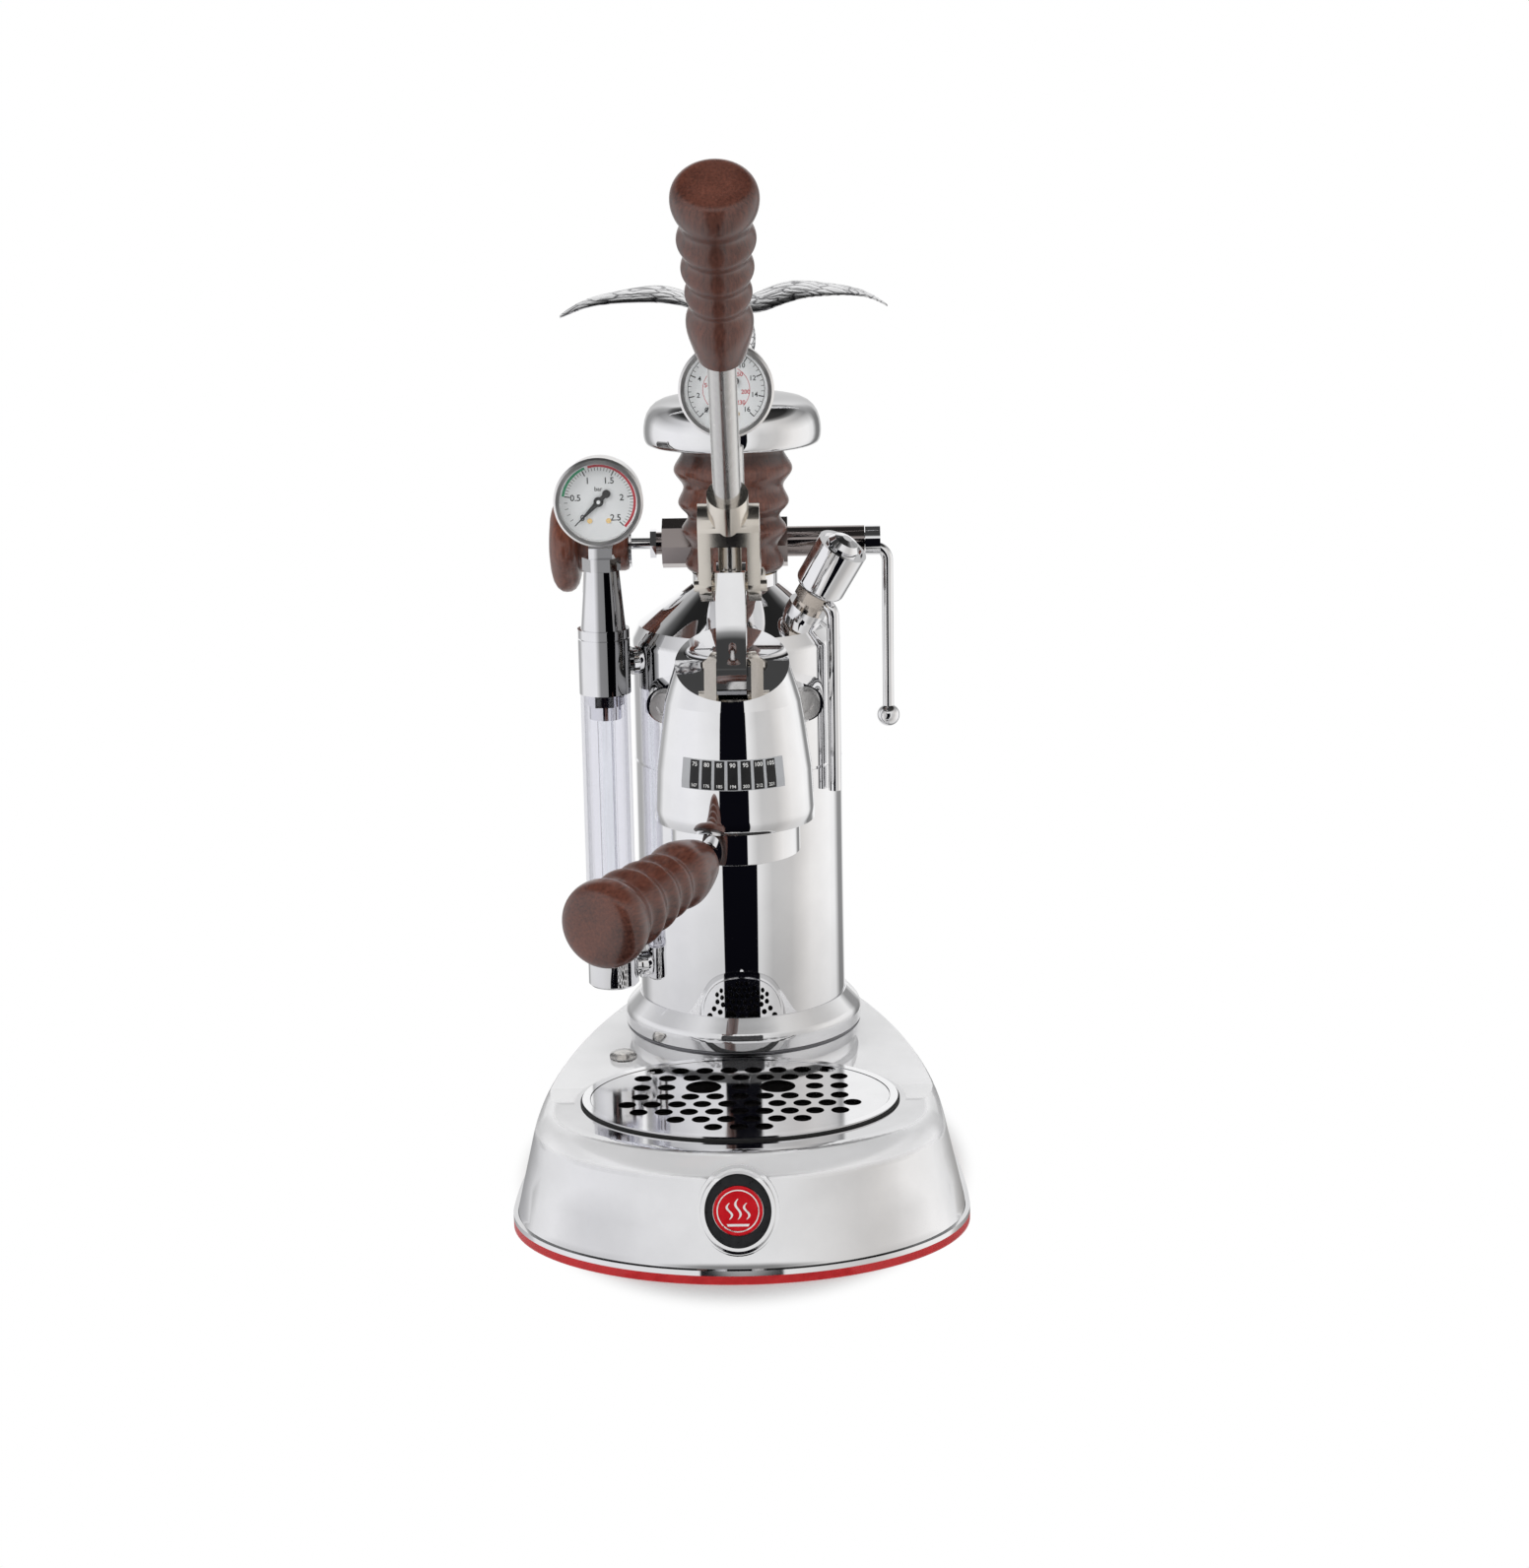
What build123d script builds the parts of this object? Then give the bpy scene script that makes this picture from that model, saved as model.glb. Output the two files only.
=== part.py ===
"""Lever espresso machine. Millimetres, +Z up, the front faces -Y.

The origin is on the boiler's axis, at the height of the table.
"""

import os
from math import atan2, cos, degrees, hypot, radians, sin, sqrt, tan

from build123d import *

os.makedirs("parts", exist_ok=True)

# Fits and clearances shared by all pieces
running_gap = 0.06
near_gap = 0.3
open_gap = 1.0
overrun = 2.0

# Base plan: a half ellipse in front, two long side arcs and a rear arc
base_half_width = 100.0
base_nose_length = 73.0
base_widest_front = 118.0
base_rear_radius = 72.0
base_rear_centre = 26.0

# Red plate under the base, with pads let into it
plate_height = 3.8
pad_radius = 9.0
pad_height = 2.4
pad_reach = 74.0
pad_side = 52.0
pad_rear = 58.0

# Chrome shell of the base
shell_top = 51.4
shell_lip_height = 2.3
shell_lip_reach = 1.5
shell_taper = 13.0
shell_wall = 1.5
shell_rounding = 13.0
deck_height = 46.5
deck_front = 78.0
deck_ramp = 34.0
boiler_passage_radius = 40.0

# Oval drip tray, its gasket and its grid
tray_centre = 108.0
tray_narrowing = 18.2
platform_half_width = 72.5
gasket_half_width = 69.9
opening_half_width = 67.5
gasket_height = 0.7
tray_flange_half_width = 69.1
tray_flange_height = 1.0
tray_wall = 1.2
tray_bottom = 12.0
tray_ledge = 1.8
tray_lift = 60.0
grid_height = 1.6
grid_hole_radius = 3.95
grid_big_hole_radius = 7.9
grid_pitch = 10.9
grid_close_share = 0.866
grid_wide_share = 1.1

# Badge on the front of the base
badge_height = 30.4
badge_half_width = 15.85
badge_half_height = 17.5
badge_boss_height = 1.4
badge_boss_depth = 8.0
badge_bezel_width = 1.9
badge_bezel_height = 2.6
badge_disc_radius = 10.4
badge_disc_height = 1.0
badge_ring_height = 1.2

# Pilot lamp on the rear deck
lamp_radius = 6.3
lamp_height = 3.2
lamp_side = 55.0
lamp_front = 38.0
lamp_stem_radius = 4.5
lamp_stem_length = 12.0

# Power switch and cord gland at the back of the base
switch_height = 24.0
switch_side = 26.0
switch_width = 22.0
switch_tall = 15.0
switch_depth = 16.0
switch_bezel = 1.6
rear_stand_off = 3.4
rocker_width = 15.0
rocker_tall = 10.0
rocker_radius = 11.0
gland_height = 20.0
gland_side = 30.0
gland_radius = 8.0
gland_bore = 3.6
gland_length = 12.0

# Boiler: a lower and an upper half that meet in a groove
boiler_radius = 47.8
boiler_wall = 2.0
boiler_floor = 58.0
boiler_floor_thickness = 3.0
boiler_seam = 181.5
seam_groove = 0.7
shoulder_start = 237.0
shoulder_top_radius = 44.5
shoulder_top = 243.5
collar_radius = 19.5
collar_bottom = 261.0
collar_top = 266.5
filler_radius = 15.0

# Ring round the boiler's foot
ring_radius = 53.3
ring_band_top = 54.0
ring_groove = 0.6
ring_bulge_radius = 55.2
ring_bulge_top = 61.0
ring_top = 68.5

# Heating element screwed into the boiler's floor
element_flange_radius = 24.0
element_flange_height = 4.0
element_rod_radius = 4.0
element_half_width = 16.0
element_height = 95.0

# Boiler cap: plug, turned wooden neck, chrome cap and bird
plug_depth = 12.0
plug_stud_radius = 4.0
neck_bore = 4.3
neck_radii_shares = (0.76, 0.896, 0.784, 0.952, 0.832, 1.0, 0.904, 1.072, 0.912, 0.96)
neck_height_shares = (0.0, 0.067, 0.198, 0.340, 0.432, 0.535, 0.665, 0.794, 0.963, 1.0)
neck_radius = 25.0
neck_bottom = 266.8
neck_top = 325.0
cap_rim_radius = 38.0
cap_radius = 40.0
cap_rim_rise = 1.0
cap_rim_height = neck_top + cap_rim_rise
cap_widest_rise = 5.7
cap_widest_height = cap_rim_height + cap_widest_rise
cap_top_radius = 34.0
cap_shoulder_rise = 11.3
cap_shoulder_height = cap_widest_height + cap_shoulder_rise
cap_top_rise = 3.6
cap_top = cap_shoulder_height + cap_top_rise
cap_crown_share = 0.7
cap_lift = 60.0

# Bird with spread wings on the cap
bird_body_radius = 10.5
bird_body_shares = ((1.0, 0.0), (0.6, 0.15), (0.95, 0.5), (0.9, 1.0))
bird_body_height = 34.0
bird_head_radius = 6.0
bird_head_rise = 55.4
bird_neck_share = 0.75
bird_crown_share = 0.3
bird_beak_radius = 2.6
bird_beak_length = 7.0
bird_beak_dip = 0.4
bird_yaw = 12.0
bird_wing_span = 75.0
bird_wing_base_rise = 35.9
bird_wing_arch = 10.0
bird_wing_chord = 25.0
bird_wing_thickness = 3.4
bird_wing_sweep = 12.0
bird_wing_pitch = 13.0
bird_wing_reach_shares = (0.08, 0.24, 0.43, 0.60, 0.76, 0.90, 1.0)
bird_wing_arch_shares = (0.40, 0.64, 0.97, 0.91, 0.75, 0.42, 0.0)
bird_wing_chord_shares = (0.80, 1.0, 0.96, 0.74, 0.52, 0.34, 0.12)
bird_wing_thickness_shares = (1.0, 1.0, 0.82, 0.68, 0.55, 0.45, 0.3)
bird_wing_sweep_shares = (0.0, -0.16, -0.16, 0.1, 0.4, 0.75, 1.0)
bird_tail_length = 24.0
bird_tail_drop = 12.0
bird_tail_width = 15.0
bird_tail_thickness = 3.0
bird_tail_reach_shares = (0.2, 0.6, 1.0)
bird_tail_width_shares = (0.6, 0.85, 1.0)
bird_tail_thickness_shares = (1.0, 0.7, 0.4)
bird_back = 4.0

# Sight column at the boiler's left, with a pressure gauge on top
column_side = 59.4
column_front = 20.0
column_foot_bottom = 77.0
column_foot_top = 93.0
column_foot_radius = 11.6
column_foot_lip = 12.2
column_lip_height = 2.5
head_block_radius = 11.8
head_block_bottom = 215.5
head_block_top = 240.5
head_bead_radius = 11.7
head_bead_top = 245.0
head_cone_radius = 10.2
head_cone_top_radius = 7.9
head_cone_top = 271.5
head_hex_flats = 15.0
head_hex_top = 277.3
stem_square = 10.5
stem_top = 282.0
glass_radius = 4.0
glass_bore = 2.5
glass_seat = 5.0
guard_radius = 11.3
guard_bore = 9.8
nut_flats = 14.6
nut_height = 6.0
nut_ring_radius = 7.4
nut_ring_height = 6.0
stub_radius = 5.0
stub_boss_radius = 6.5
stub_boss_reach = 50.0
stub_head_height = 229.0
stub_foot_height = 85.0

# Pressure gauges: the boiler's and the piston's
gauge_radius = 20.0
gauge_depth = 20.0
gauge_wall = 1.6
gauge_bezel = 2.6
gauge_bezel_depth = 2.4
dial_depth = 4.6
dial_thickness = 0.8
lens_thickness = 1.2
lens_depth = 0.8
needle_length = 13.0
needle_tail = 5.0
needle_width = 1.3
needle_thickness = 0.6
needle_hub_radius = 2.2
spindle_radius = 0.8
boiler_gauge_height = 303.2
boiler_gauge_face = 29.5
boiler_gauge_zero = 225.0
piston_gauge_height = 361.0
piston_gauge_face = 103.0
piston_gauge_zero = 225.0

# Steam valve across the back of the shoulder
valve_height = 273.5
valve_back = 36.0
valve_flats = 21.5
valve_left = 34.2
valve_right = 24.0
valve_stub_radius = 7.0
valve_boss_radius = 9.0
valve_boss_top = 258.0
valve_neck_radius = 5.2
valve_neck_length = 2.8
packing_nut_flats = 12.4
packing_nut_length = 2.8
steam_stem_radius = 2.75
steam_stem_depth = 20.0
knob_hub_radius = 12.5
knob_hub_right = 49.5
knob_disc_right = 72.5
knob_disc_left = 86.5
knob_disc_radius = 22.3
knob_lobes = 4
knob_waist = 7.0
knob_rounding = 3.0
ferrule_radius = 11.0
ferrule_length = 1.2
arm_radius = 7.0
arm_right = 59.7
wand_nut_right = 67.0
wand_spigot_radius = 4.0
wand_spigot_length = 8.0
wand_radius = 2.65
wand_drop = 3.3
wand_side = 70.3
wand_bend = 6.0
wand_tip_height = 190.0
wand_tip_radius = 5.35

# Relief valve on the right front of the shoulder, and its discharge tube
relief_azimuth = -31.5
relief_tilt = 33.0
relief_radius = 36.0
relief_height = 249.5
relief_boss_radius = 9.0
relief_boss_height = 5.0
relief_thread_radius = 6.8
relief_thread_height = 3.5
relief_hex_flats = 14.8
relief_hex_height = 5.5
relief_tube_radius = 7.2
relief_tube_bore = 5.4
relief_tube_height = 22.0
relief_cap_radius = 11.6
relief_cap_bottom = 15.0
relief_cap_top = 39.0
relief_cap_wall = 1.8
relief_cap_rounding = 4.0
relief_dome_radius = 7.5
relief_dome_height = 4.5
relief_ball_radius = 3.0
relief_seat_bore = 2.2
relief_ball_travel = 1.0
spring_radius = 3.6
spring_wire = 0.5
spring_turns = 6
tube_radius = 2.9
tube_reach = 51.6
tube_bottom = 170.0
tube_bend = 6.0

# Group: the bell on the front of the boiler
group_reach = 92.0
bell_radii_shares = (1.0, 0.968, 0.882, 0.844, 0.780, 0.720, 0.640)
bell_height_shares = (0.0, 0.25, 0.487, 0.578, 0.66, 0.733, 0.90)
bell_radius = 34.6
bell_bottom = 176.0
bell_height = 90.0
face_front = 117.0
face_front_height = 233.7
face_rear = 68.0
face_rear_height = 255.5
tower_half_width = 6.3
band_front = 103.3
band_rear = 98.5
band_top = 284.5
band_straight = 262.0
band_foot_front = 114.0
band_foot_height = 236.5
lug_radius = 8.0
lug_foot_front = 83.0
lug_foot_rear = 65.0
lug_foot_height = 248.0
duct_radius = 16.0
duct_height = 217.0
flange_front = 56.0
flange_rear = 50.0
flange_radius = 20.0
flange_ear_radius = 8.0
bolt_side = 31.0
bolt_radius = 4.0
bolt_head_radius = 6.5
bolt_head_height = 5.0
bolt_depth = 12.0
passage_radius = 4.0

# Inside of the group
recess_radius = 31.4
recess_top = 186.5
bayonet_radius = 28.4
bayonet_top = 178.2
lug_notch_half_angle = 20.0
cavity_radius = 25.65
cavity_top = 227.5
gasket_bore = 25.0
gasket_bottom = 183.2
screen_height = 1.6
sleeve_outer = 25.6
sleeve_bore = 23.1
sleeve_bottom = 188.5
sleeve_top = 226.5
piston_bottom = 211.5
piston_height = 12.0
seal_height = 2.2
seal_depth = 2.0
seal_bottom_share = 0.2
seal_top_share = 0.62
rod_radius = 5.0
adaptor_radius = 6.6
adaptor_bottom = 306.5
adaptor_top = 336.5
piston_pin_radius = 2.5
piston_pin_half_length = 15.5
piston_travel = 21.0

# Temperature strip round the front of the bell
strip_bottom = 195.5
strip_top = 208.3
strip_thickness = 0.5
strip_half_angle = 40.0

# Lever: fork, rod, wooden handle and fulcrum pin
fulcrum_back = 74.0
fulcrum_height = 276.9
fulcrum_pin_radius = 3.0
fulcrum_pin_half_length = 15.6
pin_head_radius = 4.6
pin_head_height = 1.8
arm_inside = 7.6
arm_outside = 12.9
arm_foot_radius = 10.0
slot_end_radius = 7.4
lever_swing = 60.0
lever_lean = 40.0
lever_front = 111.0
lever_height = 310.5
boss_radius = 8.65
boss_start = 10.0
boss_end = 13.0
boss_foot_share = 0.6
bridge_bottom = 297.0
arm_room = 0.6
arm_room_shares = (0.5, 0.75, 1.0)
bridge_inner_radius = 32.8
bridge_back = 100.0
lever_rod_radius = 5.9
handle_start = 96.0
handle_end = 187.0
handle_rod_depth = 30.0
handle_radius = 16.8
handle_radii_shares = (
    0.565, 0.732, 0.756, 0.667, 0.780, 0.690, 0.839, 0.738, 0.905, 0.786, 0.93, 1.0, 0.95, 0.80,
)
handle_length_shares = (
    0.0, 0.121, 0.242, 0.308, 0.374, 0.440, 0.516, 0.593, 0.681, 0.758, 0.84, 0.901, 0.950, 0.982,
)
handle_crown_share = 0.35

# Portafilter, its basket and its handle
portafilter_azimuth = 24.5
portafilter_radius = 28.0
portafilter_bottom = 161.2
portafilter_top = 176.0
portafilter_collar_top = 182.0
portafilter_bore = 25.6
portafilter_step = 2.0
bayonet_lug_radius = 31.0
bayonet_lug_bottom = 178.6
bayonet_lug_half_angle = 16.0
basket_radius = 25.2
basket_wall = 0.9
basket_rim = 27.6
basket_rim_height = 0.8
basket_proud = 1.5
basket_hole_radius = 0.8
basket_hole_pitch = 4.6
handle_neck_height = 165.8
handle_droop = 2.2
ferrule_start = 27.0
ferrule_end = 38.0
ferrule_front_radius = 5.6
ferrule_back_radius = 7.8
portafilter_handle_end = 130.0
portafilter_handle_radius = 18.4
portafilter_tang_radius = 3.6
portafilter_tang_length = 24.0
portafilter_drop = 45.0
portafilter_turn = 40.0


def side_of(frame):
    """The plane through a frame's x axis and its z axis, with z upwards."""
    return Plane(frame.origin, x_dir=frame.x_dir, z_dir=-frame.y_dir)


def turn(frame, points, mode=Mode.ADD):
    """Turn a closed outline of (radius, height) points about the frame's z axis."""
    with BuildSketch(side_of(frame)) as section:
        with BuildLine():
            Polyline(*points, close=True)
        make_face()
    revolve(section.sketch, axis=Axis(frame.origin, frame.z_dir), mode=mode)


def turn_curve(frame, points, mode=Mode.ADD):
    """Turn a smooth outline through (radius, height) points, closed on the axis."""
    with BuildSketch(side_of(frame)) as section:
        with BuildLine():
            side = Spline(*points)
            Polyline(side @ 1, (0, points[-1][1]), (0, points[0][1]), side @ 0)
        make_face()
    revolve(section.sketch, axis=Axis(frame.origin, frame.z_dir), mode=mode)


def rod(frame, radius, bottom, top, mode=Mode.ADD):
    """A round bar along the frame's z axis."""
    with BuildSketch(frame.offset(bottom)) as disc:
        Circle(radius)
    extrude(disc.sketch, amount=top - bottom, mode=mode)


def prism(frame, flats, sides, bottom, top, mode=Mode.ADD):
    """A regular prism, measured across its flats, along the frame's z axis."""
    with BuildSketch(frame.offset(bottom)) as polygon:
        RegularPolygon(flats / 2, sides, major_radius=False)
    extrude(polygon.sketch, amount=top - bottom, mode=mode)


def spun(frame, angle):
    """The same frame turned about its own z axis."""
    return Plane(
        frame.origin, x_dir=frame.x_dir * cos(radians(angle)) + frame.y_dir * sin(radians(angle)),
        z_dir=frame.z_dir,
    )


def upright(x, y):
    """A frame at a place on the table, with z upwards."""
    return Plane((x, y, 0))


boiler_frame = upright(0, 0)
column_frame = upright(-column_side, -column_front)
group_frame = upright(0, -group_reach)
valve_frame = Plane((0, valve_back, valve_height), x_dir=(0, 1, 0), z_dir=(1, 0, 0))
lamp_frame = upright(-lamp_side, -lamp_front)

relief_out = Vector(cos(radians(relief_azimuth)), sin(radians(relief_azimuth)), 0)
relief_axis = relief_out * sin(radians(relief_tilt)) + Vector(0, 0, cos(radians(relief_tilt)))
relief_side = relief_out * cos(radians(relief_tilt)) - Vector(0, 0, sin(radians(relief_tilt)))
relief_foot = relief_out * relief_radius + Vector(0, 0, relief_height)
relief_frame = Plane(relief_foot, x_dir=relief_side, z_dir=relief_axis)

lever_along = Vector(0, -sin(radians(lever_lean)), cos(radians(lever_lean)))
lever_frame = Plane((0, -lever_front, lever_height), x_dir=(1, 0, 0), z_dir=lever_along)

handle_level = cos(radians(handle_droop))
handle_along = Vector(
    -sin(radians(portafilter_azimuth)) * handle_level,
    -cos(radians(portafilter_azimuth)) * handle_level,
    -sin(radians(handle_droop)),
)
handle_frame = Plane(
    (0, -group_reach, handle_neck_height), x_dir=(0, 0, 1), z_dir=handle_along
)

# The side arcs of the base start square on the widest line and meet the rear arc
narrowing = base_half_width - base_rear_radius
rear_rise = base_widest_front + base_rear_centre
side_centre = (rear_rise**2 - narrowing**2) / (2 * narrowing)
side_angle = degrees(atan2(rear_rise, side_centre))


def base_outline(inset):
    """Draw the plan of the base, drawn in by the inset all round."""
    widest = -base_widest_front
    side_radius = side_centre + base_half_width - inset
    EllipticalCenterArc(
        (0, widest), base_half_width - inset, base_nose_length - inset,
        start_angle=180, arc_size=180,
    )
    CenterArc((-side_centre, widest), side_radius, 0, side_angle)
    CenterArc(
        (0, base_rear_centre), base_rear_radius - inset, side_angle, 180 - 2 * side_angle
    )
    CenterArc((side_centre, widest), side_radius, 180 - side_angle, side_angle)


def base_face(height, inset):
    """The plan of the base as a face at a height."""
    with BuildSketch(Plane.XY.offset(height)) as plan:
        with BuildLine():
            base_outline(inset)
        make_face()
    return plan.sketch.faces()[0]


def base_form(bottom, top, inset, rounding):
    """The tapered block of the base with its upper edge rounded."""
    lean = tan(radians(shell_taper))
    with BuildPart() as form:
        loft([base_face(bottom, inset), base_face(top, inset + lean * (top - bottom))], ruled=True)
        fillet(form.edges().group_by(Axis.Z)[-1], radius=rounding)
    return form.part


def oval(half_width):
    """Draw the oval of the drip tray at one of its half widths."""
    Ellipse(half_width, half_width - tray_narrowing)


def oval_block(half_width, bottom, top, mode=Mode.ADD):
    """An oval block round the tray's centre."""
    with BuildSketch(Plane((0, -tray_centre, bottom))) as plan:
        oval(half_width)
    extrude(plan.sketch, amount=top - bottom, mode=mode)


# Red base plate
with BuildPart() as base_plate:
    extrude(base_face(0, 0), amount=plate_height)
    with Locations(
        (pad_reach, -base_widest_front, 0), (-pad_reach, -base_widest_front, 0),
        (pad_side, pad_rear, 0), (-pad_side, pad_rear, 0),
    ):
        Cylinder(
            pad_radius, pad_height, align=(Align.CENTER, Align.CENTER, Align.MIN),
            mode=Mode.SUBTRACT,
        )

base_plate.part.label = "base_plate"
export_step(base_plate.part, "parts/base_plate.step")

# Rubber pads let into the plate, flush with its underside
with BuildPart() as rubber_feet:
    with Locations(
        (pad_reach, -base_widest_front, 0), (-pad_reach, -base_widest_front, 0),
        (pad_side, pad_rear, 0), (-pad_side, pad_rear, 0),
    ):
        Cylinder(pad_radius, pad_height, align=(Align.CENTER, Align.CENTER, Align.MIN))

rubber_feet.part.label = "rubber_feet"
export_step(rubber_feet.part, "parts/rubber_feet.step")

# The badge lies on the tapered front wall, the switch and the gland on the rear wall
wall_lean = tan(radians(shell_taper))
front_wall = base_widest_front + base_nose_length - shell_lip_reach
badge_front = front_wall - (badge_height - plate_height) * wall_lean
badge_frame = Plane(
    (0, -badge_front, badge_height), x_dir=(1, 0, 0),
    z_dir=(0, -cos(radians(shell_taper)), sin(radians(shell_taper))),
)
rear_wall = base_rear_centre + base_rear_radius - shell_lip_reach


def rear_frame(side, height):
    """A frame on the tapered rear wall, at a side distance, facing away from it."""
    reach = base_rear_radius - shell_lip_reach - (height - plate_height) * wall_lean
    turned = degrees(atan2(side, sqrt(reach**2 - side**2)))
    outward = Vector(sin(radians(turned)), cos(radians(turned)), 0)
    return Plane(
        Vector(0, base_rear_centre, height) + outward * reach,
        x_dir=(cos(radians(turned)), -sin(radians(turned)), 0),
        z_dir=outward,
    )


switch_frame = rear_frame(-switch_side, switch_height)
gland_frame = rear_frame(gland_side, gland_height)

shell_outside = base_form(plate_height, shell_top, shell_lip_reach, shell_rounding)
shell_inside = base_form(
    plate_height, shell_top - shell_wall, shell_lip_reach + shell_wall,
    shell_rounding - shell_wall,
)



def deck_slice(low, high):
    """A full-width slice above the line that falls from the platform to the deck."""
    with BuildSketch(Plane.YZ.offset(-base_half_width)) as side:
        with BuildLine():
            Polyline(
                (-deck_front - deck_ramp, shell_top + low), (-deck_front, deck_height + low),
                (base_half_width, deck_height + low), (base_half_width, deck_height + high),
                (-deck_front, deck_height + high), (-deck_front - deck_ramp, shell_top + high),
                close=True,
            )
        make_face()
    return extrude(side.sketch, amount=2 * base_half_width, mode=Mode.PRIVATE)


with BuildPart() as platform:
    oval_block(platform_half_width, tray_bottom, 2 * shell_top)

with BuildPart() as platform_rim:
    oval_block(platform_half_width, deck_height - shell_wall, shell_top)
    oval_block(
        platform_half_width - shell_wall, deck_height - shell_wall, shell_top, Mode.SUBTRACT
    )
    rod(boiler_frame, ring_bulge_radius + near_gap, deck_height, shell_top, Mode.SUBTRACT)

platform_block = platform.part
platform_wall = platform_rim.part

# Chrome shell of the base, with the flat deck behind the tray
with BuildPart() as base_shell:
    add(shell_outside)
    extrude(base_face(plate_height, 0), amount=shell_lip_height)
    add(shell_inside, mode=Mode.SUBTRACT)
    add(deck_slice(0, shell_top) - platform_block, mode=Mode.SUBTRACT)
    rod(
        boiler_frame, ring_bulge_radius + near_gap, deck_height, shell_top + overrun,
        Mode.SUBTRACT,
    )
    add(deck_slice(-shell_wall, 0) & shell_outside)
    add(platform_wall & shell_outside)
    oval_block(opening_half_width, tray_bottom, shell_top + overrun, Mode.SUBTRACT)
    rod(boiler_frame, boiler_passage_radius, tray_bottom, shell_top, Mode.SUBTRACT)
    with BuildSketch(badge_frame.offset(-badge_boss_depth)) as badge_pad:
        Ellipse(badge_half_width + badge_boss_height, badge_half_height + badge_boss_height)
    extrude(badge_pad.sketch, amount=badge_boss_depth + badge_boss_height)
    rod(lamp_frame, lamp_stem_radius + running_gap, tray_bottom, shell_top, Mode.SUBTRACT)
    with BuildSketch(switch_frame.offset(-switch_depth)) as switch_cut:
        Rectangle(switch_width + 2 * running_gap, switch_tall + 2 * running_gap)
    extrude(switch_cut.sketch, amount=2 * switch_depth, mode=Mode.SUBTRACT)
    rod(gland_frame, gland_radius + running_gap, -gland_length, gland_length, Mode.SUBTRACT)

base_shell.part.label = "base_shell"
export_step(base_shell.part, "parts/base_shell.step")

# Black gasket between the shell and the tray's flange
with BuildPart() as tray_gasket:
    oval_block(gasket_half_width, shell_top, shell_top + gasket_height)
    oval_block(opening_half_width, shell_top, shell_top + gasket_height, Mode.SUBTRACT)

tray_gasket.part.label = "tray_gasket"
export_step(tray_gasket.part, "parts/tray_gasket.step")

# Drip tray: a flange on the gasket, a deep pan and a ledge for the grid
flange_bottom = shell_top + gasket_height + running_gap
flange_top = flange_bottom + tray_flange_height
pan_half_width = opening_half_width - near_gap * 2
grid_half_width = pan_half_width - tray_wall
grid_top = flange_top - near_gap
grid_bottom = grid_top - grid_height
with BuildPart() as drip_tray:
    oval_block(tray_flange_half_width, flange_bottom, flange_top)
    oval_block(pan_half_width, tray_bottom, flange_bottom)
    oval_block(grid_half_width, grid_bottom - near_gap, flange_top, Mode.SUBTRACT)
    oval_block(
        grid_half_width - tray_ledge, tray_bottom + tray_wall, flange_top, Mode.SUBTRACT
    )

drip_tray.part.label = "drip_tray"
export_step(drip_tray.part, "parts/drip_tray.step")

# Grid: rows of holes, the fourth row on the oval's long axis
close_row = grid_pitch * grid_close_share
wide_row = grid_pitch * grid_wide_share
grid_rows = [
    (2 * wide_row + close_row, 8), (2 * wide_row, 9), (0, 9), (-close_row, 10),
    (-2 * close_row, 9), (-3 * close_row, 6), (-4 * close_row, 3),
]
with BuildPart() as drip_grid:
    oval_block(grid_half_width - near_gap, grid_bottom, grid_top)
    with BuildSketch(Plane((0, -tray_centre, grid_bottom))) as small_holes:
        for row_place, hole_count in grid_rows:
            with Locations((0, row_place)):
                with GridLocations(grid_pitch, 0, hole_count, 1):
                    Circle(grid_hole_radius)
        with Locations((0, wide_row)):
            Circle(grid_hole_radius)
            with GridLocations(6 * grid_pitch, 0, 2, 1):
                Circle(grid_hole_radius)
            with GridLocations(8 * grid_pitch, 0, 2, 1):
                Circle(grid_hole_radius)
            with GridLocations(3 * grid_pitch, 0, 2, 1):
                Circle(grid_big_hole_radius)
    extrude(small_holes.sketch, amount=grid_height, mode=Mode.SUBTRACT)

drip_grid.part.label = "drip_grid"
export_step(drip_grid.part, "parts/drip_grid.step")

# Badge plate: a chrome bezel round a shallow field with a seat for the disc
bezel_bottom = badge_boss_height
with BuildPart() as badge_bezel:
    with BuildSketch(badge_frame.offset(bezel_bottom)) as bezel_plan:
        Ellipse(badge_half_width, badge_half_height)
    extrude(bezel_plan.sketch, amount=badge_bezel_height)
    fillet(
        badge_bezel.faces().sort_by(Axis.Y)[0].edges(), radius=badge_bezel_width / 3
    )
    with BuildSketch(badge_frame.offset(bezel_bottom + badge_ring_height)) as field_plan:
        Ellipse(badge_half_width - badge_bezel_width, badge_half_height - badge_bezel_width)
    extrude(field_plan.sketch, amount=badge_bezel_height, mode=Mode.SUBTRACT)
    rod(badge_frame, badge_disc_radius + running_gap, bezel_bottom,
        bezel_bottom + badge_ring_height, Mode.SUBTRACT)

badge_bezel.part.label = "badge_bezel"
export_step(badge_bezel.part, "parts/badge_bezel.step")

# Red disc of the badge
with BuildPart() as badge_disc:
    rod(badge_frame.offset(bezel_bottom), badge_disc_radius, 0, badge_ring_height + badge_disc_height)
    fillet(
        badge_disc.faces().sort_by(Axis.Y)[0].edges(), radius=badge_disc_height / 2
    )

badge_disc.part.label = "badge_disc"
export_step(badge_disc.part, "parts/badge_disc.step")

# Pilot lamp: a lens on the deck with its stem through it
with BuildPart() as pilot_lamp:
    rod(lamp_frame, lamp_radius, deck_height, deck_height + lamp_height)
    fillet(pilot_lamp.edges().group_by(Axis.Z)[-1], radius=lamp_height * 0.6)
    rod(lamp_frame, lamp_stem_radius, deck_height - lamp_stem_length, deck_height)

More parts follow.
